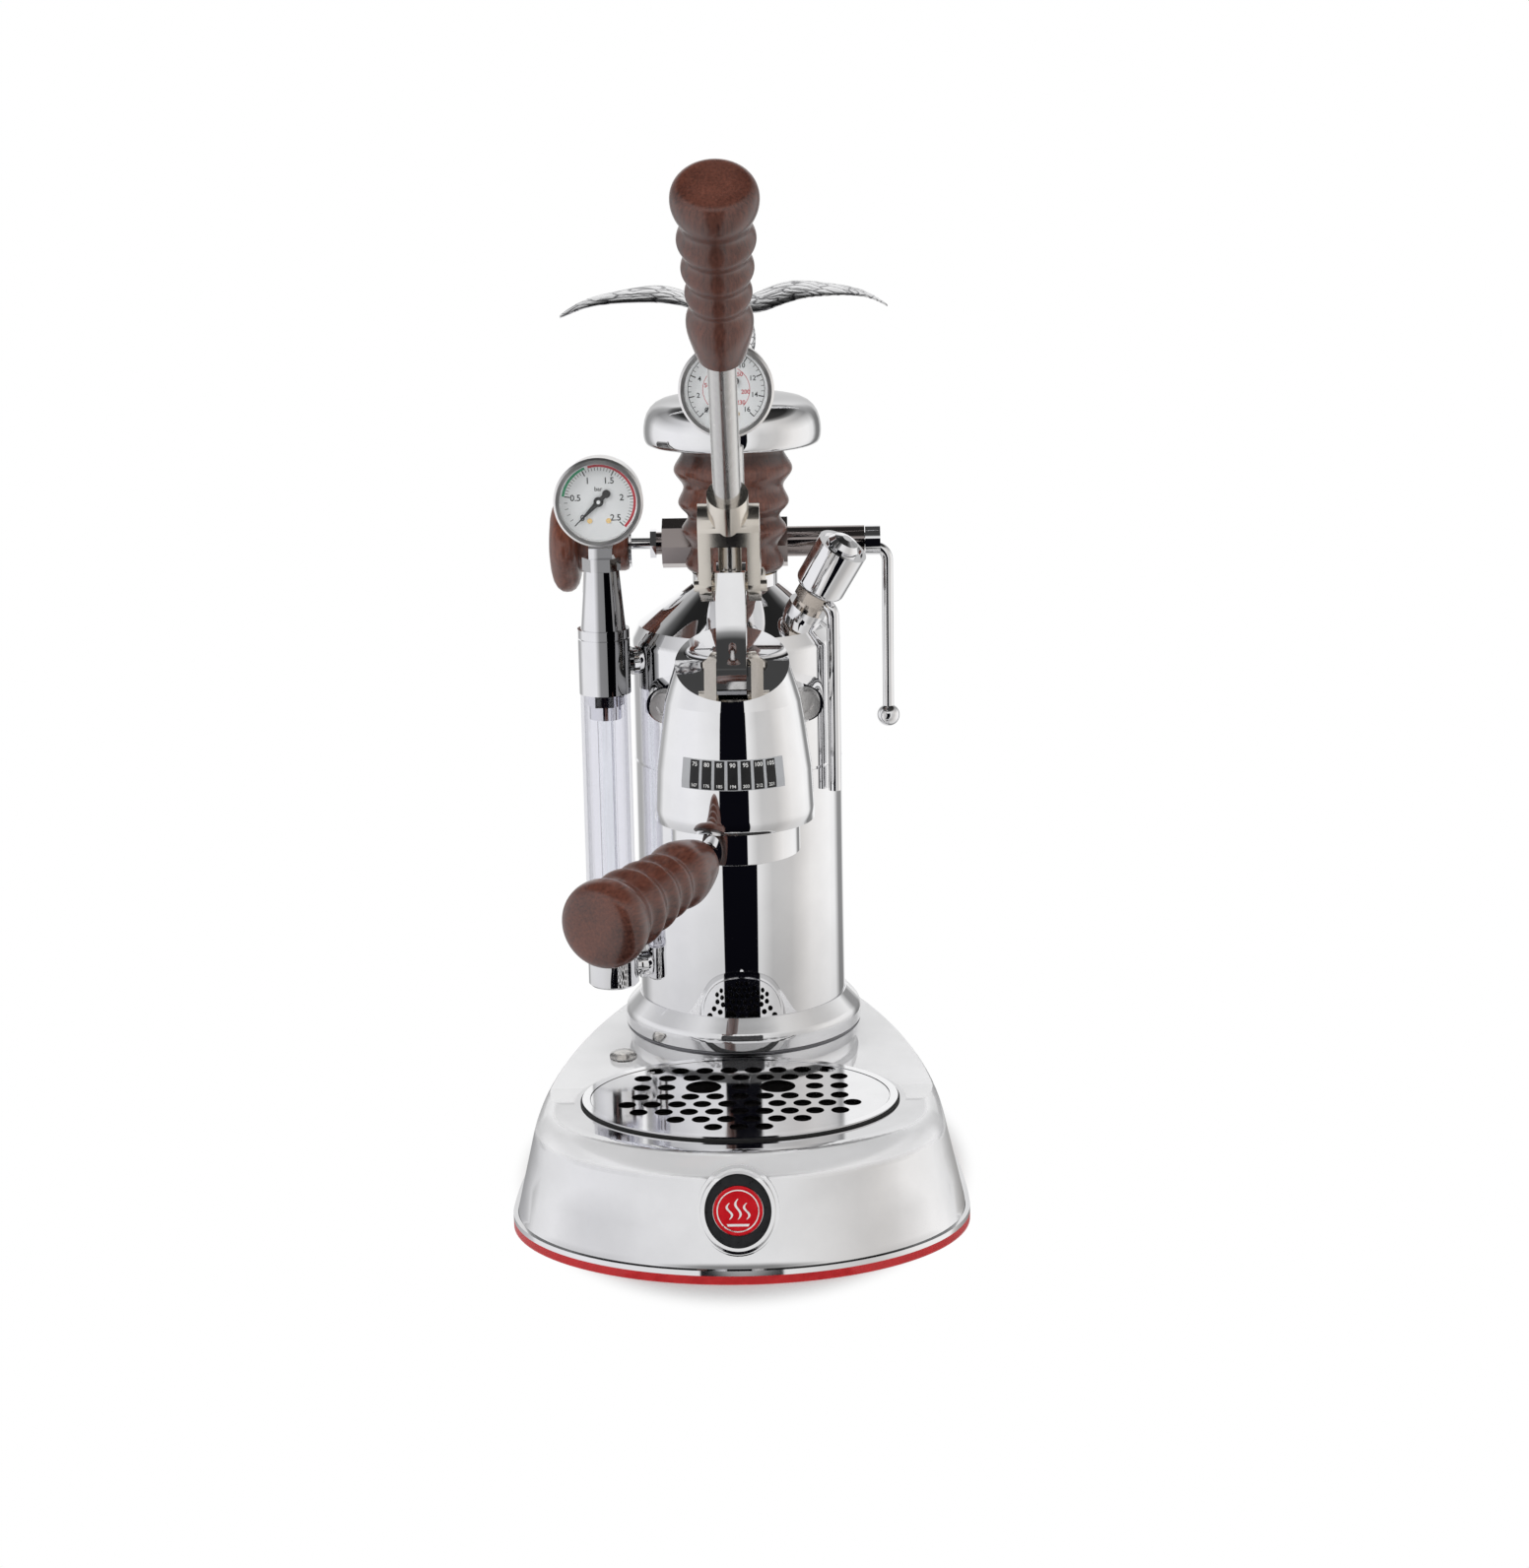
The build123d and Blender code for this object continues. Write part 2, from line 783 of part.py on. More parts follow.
pilot_lamp.part.label = "pilot_lamp"
export_step(pilot_lamp.part, "parts/pilot_lamp.step")

# Power switch: a housing with a flange on the rear wall
with BuildPart() as switch_housing:
    with BuildSketch(switch_frame.offset(-switch_depth)) as housing_plan:
        Rectangle(switch_width, switch_tall)
    extrude(housing_plan.sketch, amount=switch_depth + rear_stand_off)
    with BuildSketch(switch_frame.offset(rear_stand_off)) as flange_plan:
        RectangleRounded(
            switch_width + 2 * switch_bezel, switch_tall + 2 * switch_bezel, switch_bezel
        )
    extrude(flange_plan.sketch, amount=switch_bezel)
    with BuildSketch(switch_frame.offset(rear_stand_off + switch_bezel)) as rocker_well:
        Rectangle(rocker_width + 2 * near_gap, rocker_tall + 2 * near_gap)
    extrude(rocker_well.sketch, amount=-switch_depth + switch_bezel, mode=Mode.SUBTRACT)

switch_housing.part.label = "switch_housing"
export_step(switch_housing.part, "parts/switch_housing.step")

# Rocker: a slice of a drum that tips about its sunk axis
rocker_sink = rocker_radius - rear_stand_off - 2 * switch_bezel
rocker_frame = Plane(
    switch_frame.origin - switch_frame.z_dir * rocker_sink,
    x_dir=switch_frame.z_dir, z_dir=switch_frame.x_dir,
)
with BuildPart() as power_rocker:
    with BuildSketch(rocker_frame.offset(-rocker_width / 2)) as rocker_plan:
        Circle(rocker_radius)
        with Locations((rocker_radius / 2, 0)):
            Rectangle(rocker_radius, rocker_tall * 0.86, mode=Mode.INTERSECT)
    extrude(rocker_plan.sketch, amount=rocker_width)

power_rocker.part.label = "power_rocker"
export_step(power_rocker.part, "parts/power_rocker.step")

# Cord gland in the rear wall
with BuildPart() as cord_gland:
    rod(gland_frame, gland_radius, -gland_length, rear_stand_off)
    rod(gland_frame, gland_radius + shell_wall, rear_stand_off, rear_stand_off + shell_wall)
    turn(gland_frame, [
        (0, rear_stand_off), (gland_radius, rear_stand_off),
        (gland_radius * 0.7, gland_length), (0, gland_length),
    ])
    rod(gland_frame, gland_bore, -gland_length, gland_length, Mode.SUBTRACT)

cord_gland.part.label = "cord_gland"
export_step(cord_gland.part, "parts/cord_gland.step")

# Lower half of the boiler: a skirt on the deck, a floor and the wall up to the seam
boiler_bore = boiler_radius - boiler_wall
foot_stub_frame = Plane(
    (0, 0, stub_foot_height), x_dir=(0, 0, 1), z_dir=(-column_side, -column_front, 0)
)
head_stub_frame = Plane(
    (0, 0, stub_head_height), x_dir=(0, 0, 1), z_dir=(-column_side, -column_front, 0)
)
with BuildPart() as boiler_lower:
    turn(boiler_frame, [
        (boiler_bore, deck_height), (boiler_radius, deck_height),
        (boiler_radius, boiler_seam - seam_groove),
        (boiler_radius - seam_groove, boiler_seam - seam_groove),
        (boiler_radius - seam_groove, boiler_seam), (boiler_bore, boiler_seam),
        (boiler_bore, boiler_floor + boiler_floor_thickness),
        (0, boiler_floor + boiler_floor_thickness), (0, boiler_floor),
        (boiler_bore, boiler_floor),
    ])
    rod(foot_stub_frame, stub_boss_radius, boiler_bore, stub_boss_reach)
    rod(foot_stub_frame, passage_radius / 2, boiler_bore - overrun, stub_boss_reach, Mode.SUBTRACT)
    rod(boiler_frame, boiler_bore, boiler_floor + boiler_floor_thickness,
        boiler_seam, Mode.SUBTRACT)
    rod(boiler_frame, element_flange_radius / 2, deck_height, boiler_seam, Mode.SUBTRACT)

boiler_lower.part.label = "boiler_lower"
export_step(boiler_lower.part, "parts/boiler_lower.step")

# Two ears and a round pad carry the group on the boiler


def group_pad(plane_y, thickness, grow=0.0):
    """The outline of the group's flange, extruded backwards from a plane."""
    with BuildSketch(Plane((0, -plane_y, duct_height), x_dir=(1, 0, 0), z_dir=(0, 1, 0))) as pad:
        with BuildLine():
            CenterArc((0, 0), flange_radius + grow, 0, 360)
            CenterArc((bolt_side, 0), flange_ear_radius + grow, 0, 360)
            CenterArc((-bolt_side, 0), flange_ear_radius + grow, 0, 360)
        make_hull()
    return extrude(pad.sketch, amount=thickness, mode=Mode.PRIVATE)


duct_frame = Plane((0, 0, duct_height), x_dir=(1, 0, 0), z_dir=(0, -1, 0))
pad_block = group_pad(flange_rear, flange_rear - boiler_bore / 2)
cone_slope = (collar_bottom - shoulder_top) / (shoulder_top_radius - collar_radius)

# Upper half of the boiler: shoulder, collar and the bosses of the fittings
with BuildPart() as boiler_upper:
    turn(boiler_frame, [
        (0, boiler_seam), (boiler_radius - seam_groove, boiler_seam),
        (boiler_radius - seam_groove, boiler_seam + seam_groove),
        (boiler_radius, boiler_seam + seam_groove), (boiler_radius, shoulder_start),
        (shoulder_top_radius, shoulder_top), (collar_radius, collar_bottom),
        (collar_radius, collar_top), (0, collar_top),
    ])
    fillet(
        boiler_upper.edges().filter_by(GeomType.CIRCLE).group_by(Axis.Z)[-4:-2][0],
        radius=shoulder_top - shoulder_start,
    )
    add(pad_block)
    rod(head_stub_frame, stub_boss_radius, boiler_bore, stub_boss_reach)
    rod(upright(0, valve_back), valve_boss_radius, shoulder_start, valve_boss_top)
    rod(relief_frame, relief_boss_radius, -relief_boss_height, relief_boss_height)
    turn(boiler_frame, [
        (0, boiler_seam), (boiler_bore, boiler_seam), (boiler_bore, shoulder_start),
        (shoulder_top_radius - boiler_wall, shoulder_top - boiler_wall),
        (filler_radius, collar_bottom - boiler_wall), (0, collar_bottom - boiler_wall),
    ], Mode.SUBTRACT)
    rod(boiler_frame, filler_radius, shoulder_start, collar_top, Mode.SUBTRACT)
    rod(head_stub_frame, passage_radius / 2, boiler_bore / 2, stub_boss_reach, Mode.SUBTRACT)
    rod(upright(0, valve_back), passage_radius / 2, shoulder_start, valve_boss_top, Mode.SUBTRACT)
    rod(relief_frame, relief_seat_bore, -2 * relief_boss_height, relief_boss_height, Mode.SUBTRACT)
    rod(duct_frame, passage_radius, boiler_bore / 2, flange_rear, Mode.SUBTRACT)
    for side in (-bolt_side, bolt_side):
        rod(
            Plane((side, 0, duct_height), x_dir=(1, 0, 0), z_dir=(0, -1, 0)),
            bolt_radius, flange_front - bolt_depth, flange_rear, Mode.SUBTRACT,
        )

boiler_upper.part.label = "boiler_upper"
export_step(boiler_upper.part, "parts/boiler_upper.step")

# Stepped ring round the boiler's foot
with BuildPart() as boiler_ring:
    turn(boiler_frame, [
        (boiler_radius + running_gap, deck_height), (ring_radius, deck_height),
        (ring_radius, ring_band_top), (ring_radius - ring_groove, ring_band_top),
        (ring_radius - ring_groove, ring_band_top + ring_groove),
        (ring_bulge_radius, ring_band_top + ring_groove), (ring_bulge_radius, ring_bulge_top),
        (boiler_radius + running_gap + ring_groove, ring_top),
        (boiler_radius + running_gap, ring_top),
    ])
    fillet(
        boiler_ring.edges().filter_by(
            lambda edge: abs(edge.center().Z - ring_bulge_top) < running_gap
        ),
        radius=(ring_bulge_radius - ring_radius) * 3,
    )

boiler_ring.part.label = "boiler_ring"
export_step(boiler_ring.part, "parts/boiler_ring.step")

# Heating element: a flange under the floor and a loop that stands in the water
element_plug = element_flange_radius / 2 - near_gap
loop_top = boiler_floor + element_height
loop_start = boiler_floor - element_flange_height
with BuildPart() as heating_element:
    rod(boiler_frame, element_flange_radius, loop_start, boiler_floor)
    rod(boiler_frame, element_plug, boiler_floor, boiler_floor + 2 * boiler_floor_thickness)
    with BuildLine() as element_path:
        FilletPolyline(
            (-element_plug / 2, 0, boiler_floor), (-element_plug / 2, 0, loop_top),
            (element_plug / 2, 0, loop_top), (element_plug / 2, 0, boiler_floor),
            radius=element_plug / 2 * 0.95,
        )
    with BuildSketch(Plane((-element_plug / 2, 0, boiler_floor))) as element_section:
        Circle(element_rod_radius)
    sweep(element_section.sketch, path=element_path.line)

heating_element.part.label = "heating_element"
export_step(heating_element.part, "parts/heating_element.step")

# Plug of the boiler cap, with a stud through the neck
with BuildPart() as cap_plug:
    rod(boiler_frame, filler_radius - running_gap, collar_top - plug_depth, collar_top)
    rod(boiler_frame, collar_radius - open_gap, collar_top + running_gap, neck_bottom)
    rod(boiler_frame, filler_radius - running_gap, collar_top, collar_top + running_gap)
    rod(boiler_frame, plug_stud_radius, neck_bottom, cap_rim_height + open_gap)

cap_plug.part.label = "cap_plug"
export_step(cap_plug.part, "parts/cap_plug.step")

# Turned wooden neck
neck_length = neck_top - neck_bottom
neck_points = [
    (radius_share * neck_radius, neck_bottom + height_share * neck_length)
    for radius_share, height_share in zip(neck_radii_shares, neck_height_shares)
]
with BuildPart() as wood_neck:
    turn_curve(boiler_frame, neck_points)
    rod(boiler_frame, neck_bore, neck_bottom, neck_top, Mode.SUBTRACT)

wood_neck.part.label = "wood_neck"
export_step(wood_neck.part, "parts/wood_neck.step")

# Chrome cap on the neck
with BuildPart() as chrome_cap:
    with BuildSketch(side_of(boiler_frame)):
        with BuildLine():
            lower = Polyline(
                (0, neck_top + running_gap), (cap_rim_radius - open_gap, neck_top + running_gap),
                (cap_rim_radius, cap_rim_height),
            )
            flank = Spline(
                lower @ 1, (cap_radius, cap_widest_height),
                (cap_top_radius, cap_shoulder_height), (cap_top_radius * cap_crown_share, cap_top),
            )
            Polyline(flank @ 1, (0, cap_top), lower @ 0)
        make_face()
    revolve(axis=Axis.Z)
    rod(boiler_frame, neck_bore, neck_top, cap_rim_height + 2 * open_gap, Mode.SUBTRACT)

chrome_cap.part.label = "chrome_cap"
export_step(chrome_cap.part, "parts/chrome_cap.step")


def wing_section(reach_share, arch_share, chord_share, thickness_share, sweep_share):
    """One section of a wing, at a share of its span: a leaning flat oval."""
    lean = radians(bird_wing_pitch)
    origin = (
        reach_share * bird_wing_span, bird_back + sweep_share * bird_wing_sweep,
        cap_top + bird_wing_base_rise + arch_share * bird_wing_arch,
    )
    with BuildSketch(Plane(origin, x_dir=(0, cos(lean), sin(lean)), z_dir=(1, 0, 0))) as section:
        Ellipse(chord_share * bird_wing_chord / 2, thickness_share * bird_wing_thickness / 2)
    return section.sketch.faces()[0]


def tail_section(reach_share, width_share, thickness_share):
    """One upright section of the tail, at a share of its length."""
    origin = (
        0, bird_back + reach_share * bird_tail_length,
        cap_top + bird_body_height - reach_share * bird_tail_drop,
    )
    with BuildSketch(Plane(origin, x_dir=(1, 0, 0), z_dir=(0, 1, 0))) as section:
        Ellipse(width_share * bird_tail_width / 2, thickness_share * bird_tail_thickness / 2)
    return section.sketch.faces()[0]


# Bird with spread wings, standing on the cap
bird_head_height = cap_top + bird_head_rise
with BuildPart() as bird_finial:
    turn_curve(upright(0, bird_back), [
        *[
            (radius_share * bird_body_radius, cap_top + height_share * bird_body_height)
            for radius_share, height_share in bird_body_shares
        ],
        (bird_head_radius * bird_neck_share, bird_head_height - bird_head_radius),
        (bird_head_radius, bird_head_height),
        (bird_head_radius * bird_crown_share, bird_head_height + bird_head_radius),
    ])
    loft([
        wing_section(*shares)
        for shares in zip(
            bird_wing_reach_shares, bird_wing_arch_shares, bird_wing_chord_shares,
            bird_wing_thickness_shares, bird_wing_sweep_shares,
        )
    ])
    mirror(about=Plane.YZ)
    loft([
        tail_section(*shares)
        for shares in zip(
            bird_tail_reach_shares, bird_tail_width_shares, bird_tail_thickness_shares,
        )
    ])
    turn(Plane((0, bird_back, bird_head_height), x_dir=(1, 0, 0), z_dir=(0, -1, -bird_beak_dip)), [
        (0, 0), (bird_beak_radius, 0), (bird_beak_radius, bird_head_radius - overrun),
        (0, bird_head_radius + bird_beak_length),
    ])

bird_finial.part = bird_finial.part.rotate(
    Axis((0, bird_back, 0), (0, 0, 1)), bird_yaw
)
bird_finial.part.label = "bird_finial"
export_step(bird_finial.part, "parts/bird_finial.step")

# Head of the sight column: block, bead, cone, hexagon and the square stem
column_reach = hypot(column_side, column_front)
with BuildPart() as column_head:
    turn(column_frame, [
        (0, head_block_bottom), (head_block_radius, head_block_bottom),
        (head_block_radius, head_block_top), (head_bead_radius - open_gap, head_block_top),
        (head_bead_radius - open_gap, head_block_top + open_gap / 2),
        (head_bead_radius, head_block_top + open_gap / 2),
        (head_bead_radius, head_bead_top), (head_cone_radius, head_bead_top),
        (head_cone_top_radius, head_cone_top), (0, head_cone_top),
    ])
    prism(column_frame, head_hex_flats, 6, head_cone_top, head_hex_top)
    with BuildSketch(column_frame.offset(head_hex_top)) as stem_plan:
        Rectangle(stem_square, stem_square)
    extrude(stem_plan.sketch, amount=stem_top - head_hex_top)
    rod(head_stub_frame, stub_radius, stub_boss_reach, column_reach)
    rod(column_frame, glass_radius + running_gap, head_block_bottom,
        head_block_bottom + glass_seat, Mode.SUBTRACT)

column_head.part.label = "column_head"
export_step(column_head.part, "parts/column_head.step")

# Foot of the sight column
with BuildPart() as column_foot:
    turn(column_frame, [
        (0, column_foot_bottom), (column_foot_radius - open_gap, column_foot_bottom),
        (column_foot_radius, column_foot_bottom + open_gap),
        (column_foot_radius, column_foot_top - column_lip_height),
        (column_foot_lip, column_foot_top - column_lip_height),
        (column_foot_lip, column_foot_top), (0, column_foot_top),
    ])
    rod(foot_stub_frame, stub_radius, stub_boss_reach, column_reach)
    rod(column_frame, glass_radius + running_gap, column_foot_top - glass_seat,
        column_foot_top, Mode.SUBTRACT)

column_foot.part.label = "column_foot"
export_step(column_foot.part, "parts/column_foot.step")

# Sight glass tube
with BuildPart() as sight_glass:
    rod(column_frame, glass_radius, column_foot_top - glass_seat, head_block_bottom + glass_seat)
    rod(column_frame, glass_bore, column_foot_top - glass_seat,
        head_block_bottom + glass_seat, Mode.SUBTRACT)

sight_glass.part.label = "sight_glass"
export_step(sight_glass.part, "parts/sight_glass.step")

# Packing nuts at both ends of the glass
with BuildPart() as glass_nuts:
    for seat, way in ((head_block_bottom, -1), (column_foot_top, 1)):
        nut_frame = Plane((-column_side, -column_front, seat), z_dir=(0, 0, way))
        prism(nut_frame, nut_flats, 6, 0, nut_height)
        rod(nut_frame, nut_ring_radius, nut_height, nut_height + nut_ring_height)
        rod(nut_frame, glass_radius + running_gap, 0, nut_height + nut_ring_height, Mode.SUBTRACT)

glass_nuts.part.label = "glass_nuts"
export_step(glass_nuts.part, "parts/glass_nuts.step")

# Clear guard tube round the glass
with BuildPart() as glass_guard:
    rod(column_frame, guard_radius, column_foot_top, head_block_bottom)
    rod(column_frame, guard_bore, column_foot_top, head_block_bottom, Mode.SUBTRACT)

glass_guard.part.label = "glass_guard"
export_step(glass_guard.part, "parts/glass_guard.step")


def gauge_case(frame, stem_bottom, stem_depth):
    """A round case with a rolled bezel and a square stem underneath."""
    back = -gauge_depth
    with BuildPart() as case:
        turn(frame, [
            (0, back), (gauge_radius * 0.86, back), (gauge_radius * 0.94, back + open_gap),
            (gauge_radius * 0.94, -gauge_bezel_depth - open_gap),
            (gauge_radius, -gauge_bezel_depth), (gauge_radius, -open_gap),
            (gauge_radius - open_gap, 0), (gauge_radius - gauge_bezel, 0),
            (gauge_radius - gauge_bezel, -dial_depth - dial_thickness),
            (0, -dial_depth - dial_thickness),
        ])
        with BuildSketch(Plane((frame.origin.X, stem_depth, stem_bottom))) as stem:
            Rectangle(stem_square, stem_square)
        extrude(stem.sketch, amount=frame.origin.Z - gauge_radius + gauge_bezel - stem_bottom)
    return case


def gauge_dial(frame):
    """The printed plate, with the needle's spindle on it."""
    with BuildPart() as dial:
        rod(frame, gauge_radius - gauge_bezel - running_gap, -dial_depth - dial_thickness,
            -dial_depth)
        rod(frame, spindle_radius, -dial_depth, -lens_depth - lens_thickness - near_gap)
    return dial


def gauge_lens(frame):
    """The flat glass behind the bezel."""
    with BuildPart() as lens:
        rod(frame, gauge_radius - gauge_bezel - running_gap, -lens_depth - lens_thickness,
            -lens_depth)
    return lens


def gauge_needle(frame, zero_angle):
    """A tapered needle with a round tail, turned to its zero."""
    bottom = -dial_depth + near_gap * 2
    with BuildPart() as needle:
        with BuildSketch(spun(frame, zero_angle).offset(bottom)) as plan:
            with BuildLine():
                Polyline(
                    (needle_length, needle_width / 8), (0, needle_width),
                    (-needle_tail, needle_width / 2), (-needle_tail, -needle_width / 2),
                    (0, -needle_width), (needle_length, -needle_width / 8), close=True,
                )
            make_face()
            Circle(needle_hub_radius)
            with Locations((-needle_tail, 0)):
                Circle(needle_width * 1.4)
            Circle(spindle_radius + running_gap, mode=Mode.SUBTRACT)
        extrude(plan.sketch, amount=needle_thickness)
    return needle


def facing_front(x, face, height):
    """A frame on a gauge's front, facing the user."""
    return Plane((x, -face, height), x_dir=(1, 0, 0), z_dir=(0, -1, 0))


# Boiler pressure gauge on the column
boiler_gauge_frame = facing_front(-column_side, boiler_gauge_face, boiler_gauge_height)
boiler_gauge_case = gauge_case(boiler_gauge_frame, stem_top, -column_front)
boiler_gauge_case.part.label = "boiler_gauge_case"
export_step(boiler_gauge_case.part, "parts/boiler_gauge_case.step")

boiler_gauge_dial = gauge_dial(boiler_gauge_frame)
boiler_gauge_dial.part.label = "boiler_gauge_dial"
export_step(boiler_gauge_dial.part, "parts/boiler_gauge_dial.step")

boiler_gauge_lens = gauge_lens(boiler_gauge_frame)
boiler_gauge_lens.part.label = "boiler_gauge_lens"
export_step(boiler_gauge_lens.part, "parts/boiler_gauge_lens.step")

boiler_gauge_needle = gauge_needle(boiler_gauge_frame, boiler_gauge_zero)
boiler_gauge_needle.part.label = "boiler_gauge_needle"
export_step(boiler_gauge_needle.part, "parts/boiler_gauge_needle.step")

# Piston pressure gauge on top of the piston rod
piston_gauge_frame = facing_front(0, piston_gauge_face, piston_gauge_height)
piston_gauge_case = gauge_case(piston_gauge_frame, adaptor_top, -group_reach)
piston_gauge_case.part.label = "piston_gauge_case"
export_step(piston_gauge_case.part, "parts/piston_gauge_case.step")

piston_gauge_dial = gauge_dial(piston_gauge_frame)
piston_gauge_dial.part.label = "piston_gauge_dial"
export_step(piston_gauge_dial.part, "parts/piston_gauge_dial.step")

piston_gauge_lens = gauge_lens(piston_gauge_frame)
piston_gauge_lens.part.label = "piston_gauge_lens"
export_step(piston_gauge_lens.part, "parts/piston_gauge_lens.step")

piston_gauge_needle = gauge_needle(piston_gauge_frame, piston_gauge_zero)
piston_gauge_needle.part.label = "piston_gauge_needle"
export_step(piston_gauge_needle.part, "parts/piston_gauge_needle.step")

# Steam valve body: an octagonal bar with a stub down to its boss and an arm to the right
with BuildPart() as steam_valve_body:
    prism(valve_frame, valve_flats, 8, -valve_left, valve_right)
    rod(valve_frame, valve_neck_radius, -valve_left - valve_neck_length, -valve_left)
    rod(valve_frame, arm_radius, valve_right, arm_right)
    rod(upright(0, valve_back), valve_stub_radius, valve_boss_top, valve_height)
    rod(valve_frame, steam_stem_radius + running_gap,
        -valve_left - valve_neck_length, -valve_left + steam_stem_depth, Mode.SUBTRACT)
    rod(valve_frame, wand_spigot_radius + running_gap,
        arm_right - wand_spigot_length - open_gap, arm_right, Mode.SUBTRACT)

steam_valve_body.part.label = "steam_valve_body"
export_step(steam_valve_body.part, "parts/steam_valve_body.step")

# Packing nut on the stem
packing_end = valve_left + valve_neck_length
with BuildPart() as packing_nut:
    prism(valve_frame, packing_nut_flats, 6, -packing_end - packing_nut_length, -packing_end)
    rod(valve_frame, steam_stem_radius + running_gap,
        -packing_end - packing_nut_length, -packing_end, Mode.SUBTRACT)

packing_nut.part.label = "packing_nut"
export_step(packing_nut.part, "parts/packing_nut.step")

# Steam stem from inside the valve into the knob
stem_tip = -valve_left + steam_stem_depth - open_gap
with BuildPart() as steam_stem:
    rod(valve_frame, steam_stem_radius, -knob_disc_right, stem_tip)
    rod(valve_frame, ferrule_radius, -knob_hub_right, -knob_hub_right + ferrule_length)

steam_stem.part.label = "steam_stem"
export_step(steam_stem.part, "parts/steam_stem.step")

# Wooden steam knob: a round hub and a lobed disc
with BuildPart() as steam_knob:
    rod(valve_frame, knob_hub_radius, -knob_disc_right, -knob_hub_right)
    rod(valve_frame, knob_disc_radius, -knob_disc_left, -knob_disc_right)
    with BuildSketch(valve_frame.offset(-knob_disc_left)) as waists:
        with PolarLocations(knob_disc_radius + knob_waist * 0.55, knob_lobes, start_angle=45):
            Circle(knob_waist)
    extrude(waists.sketch, amount=knob_disc_left - knob_disc_right, mode=Mode.SUBTRACT)
    fillet(
        steam_knob.faces().sort_by(Axis.X)[0].edges(), radius=knob_rounding
    )
    rod(valve_frame, steam_stem_radius, -knob_disc_right, -knob_hub_right, Mode.SUBTRACT)

steam_knob.part.label = "steam_knob"
export_step(steam_knob.part, "parts/steam_knob.step")

# Steam wand: a swivel nut with a spigot, the bent tube and its ball tip
wand_height = valve_height - wand_drop
with BuildPart() as steam_wand:
    rod(valve_frame, arm_radius, arm_right + near_gap, wand_nut_right)
    rod(valve_frame, wand_spigot_radius, arm_right - wand_spigot_length, arm_right + near_gap)
    with BuildLine() as wand_path:
        FilletPolyline(
            (arm_right + open_gap, valve_back, wand_height),
            (wand_side, valve_back, wand_height),
            (wand_side, valve_back, wand_tip_height), radius=wand_bend,
        )
    with BuildSketch(
        Plane((arm_right + open_gap, valve_back, wand_height), z_dir=(1, 0, 0))
    ) as wand_section:
        Circle(wand_radius)
    sweep(wand_section.sketch, path=wand_path.line)
    with Locations((wand_side, valve_back, wand_tip_height)):
        Sphere(wand_tip_radius)

steam_wand.part.label = "steam_wand"
export_step(steam_wand.part, "parts/steam_wand.step")

# Relief valve body: thread, hexagon and the open tube with the ball's seat
relief_hex_bottom = relief_boss_height + relief_thread_height
relief_hex_top = relief_hex_bottom + relief_hex_height
relief_tube_top = relief_hex_top + relief_tube_height
relief_floor = relief_hex_bottom + relief_hex_height / 2
with BuildPart() as relief_body:
    rod(relief_frame, relief_thread_radius, relief_boss_height, relief_hex_bottom)
    prism(spun(relief_frame, 30), relief_hex_flats, 6, relief_hex_bottom, relief_hex_top)
    rod(relief_frame, relief_tube_radius, relief_hex_top, relief_tube_top)
    rod(relief_frame, relief_tube_bore, relief_floor, relief_tube_top, Mode.SUBTRACT)
    rod(relief_frame, relief_seat_bore, relief_boss_height, relief_floor, Mode.SUBTRACT)

relief_body.part.label = "relief_body"
export_step(relief_body.part, "parts/relief_body.step")

# Relief cap over the tube, with the domed end of its insert
relief_roof = relief_tube_top + near_gap
with BuildPart() as relief_cap:
    rod(relief_frame, relief_cap_radius, relief_cap_bottom, relief_cap_top)
    fillet(
        relief_cap.edges().sort_by(Axis(relief_frame.origin, relief_frame.z_dir))[0],
        radius=relief_cap_rounding * 0.7,
    )
    rod(relief_frame, relief_cap_radius - relief_cap_wall, relief_roof + relief_cap_wall,
        relief_cap_top, Mode.SUBTRACT)
    rod(relief_frame, relief_tube_radius + running_gap, relief_cap_bottom, relief_roof,
        Mode.SUBTRACT)
    turn(relief_frame, [
        (0, relief_roof), (relief_dome_radius, relief_roof),
        (relief_dome_radius, relief_cap_top + relief_dome_height * 0.2),
        (relief_dome_radius * 0.75, relief_cap_top + relief_dome_height * 0.75),
        (relief_dome_radius * 0.3, relief_cap_top + relief_dome_height),
        (0, relief_cap_top + relief_dome_height),
    ])

relief_cap.part.label = "relief_cap"
export_step(relief_cap.part, "parts/relief_cap.step")

# Ball on its seat inside the relief valve
seat_drop = sqrt(relief_ball_radius**2 - relief_seat_bore**2)
ball_height = relief_floor + seat_drop + running_gap
with BuildPart() as relief_ball:
    with Locations(relief_frame.offset(ball_height).origin):
        Sphere(relief_ball_radius)

relief_ball.part.label = "relief_ball"
export_step(relief_ball.part, "parts/relief_ball.step")

# Spring between the ball and the cap
spring_bottom = ball_height + relief_ball_radius + near_gap + relief_ball_travel + spring_wire
spring_length = relief_roof - near_gap - spring_wire - spring_bottom
with BuildPart() as relief_spring:
    with BuildLine() as spring_path:
        Helix(
            pitch=spring_length / spring_turns, height=spring_length, radius=spring_radius,
            center=relief_frame.offset(spring_bottom).origin, direction=relief_axis,
        )
    with BuildSketch(
        Plane(spring_path.line @ 0, z_dir=spring_path.line % 0)
    ) as spring_section:
        Circle(spring_wire)
    sweep(spring_section.sketch, path=spring_path.line, is_frenet=True)

relief_spring.part.label = "relief_spring"
export_step(relief_spring.part, "parts/relief_spring.step")

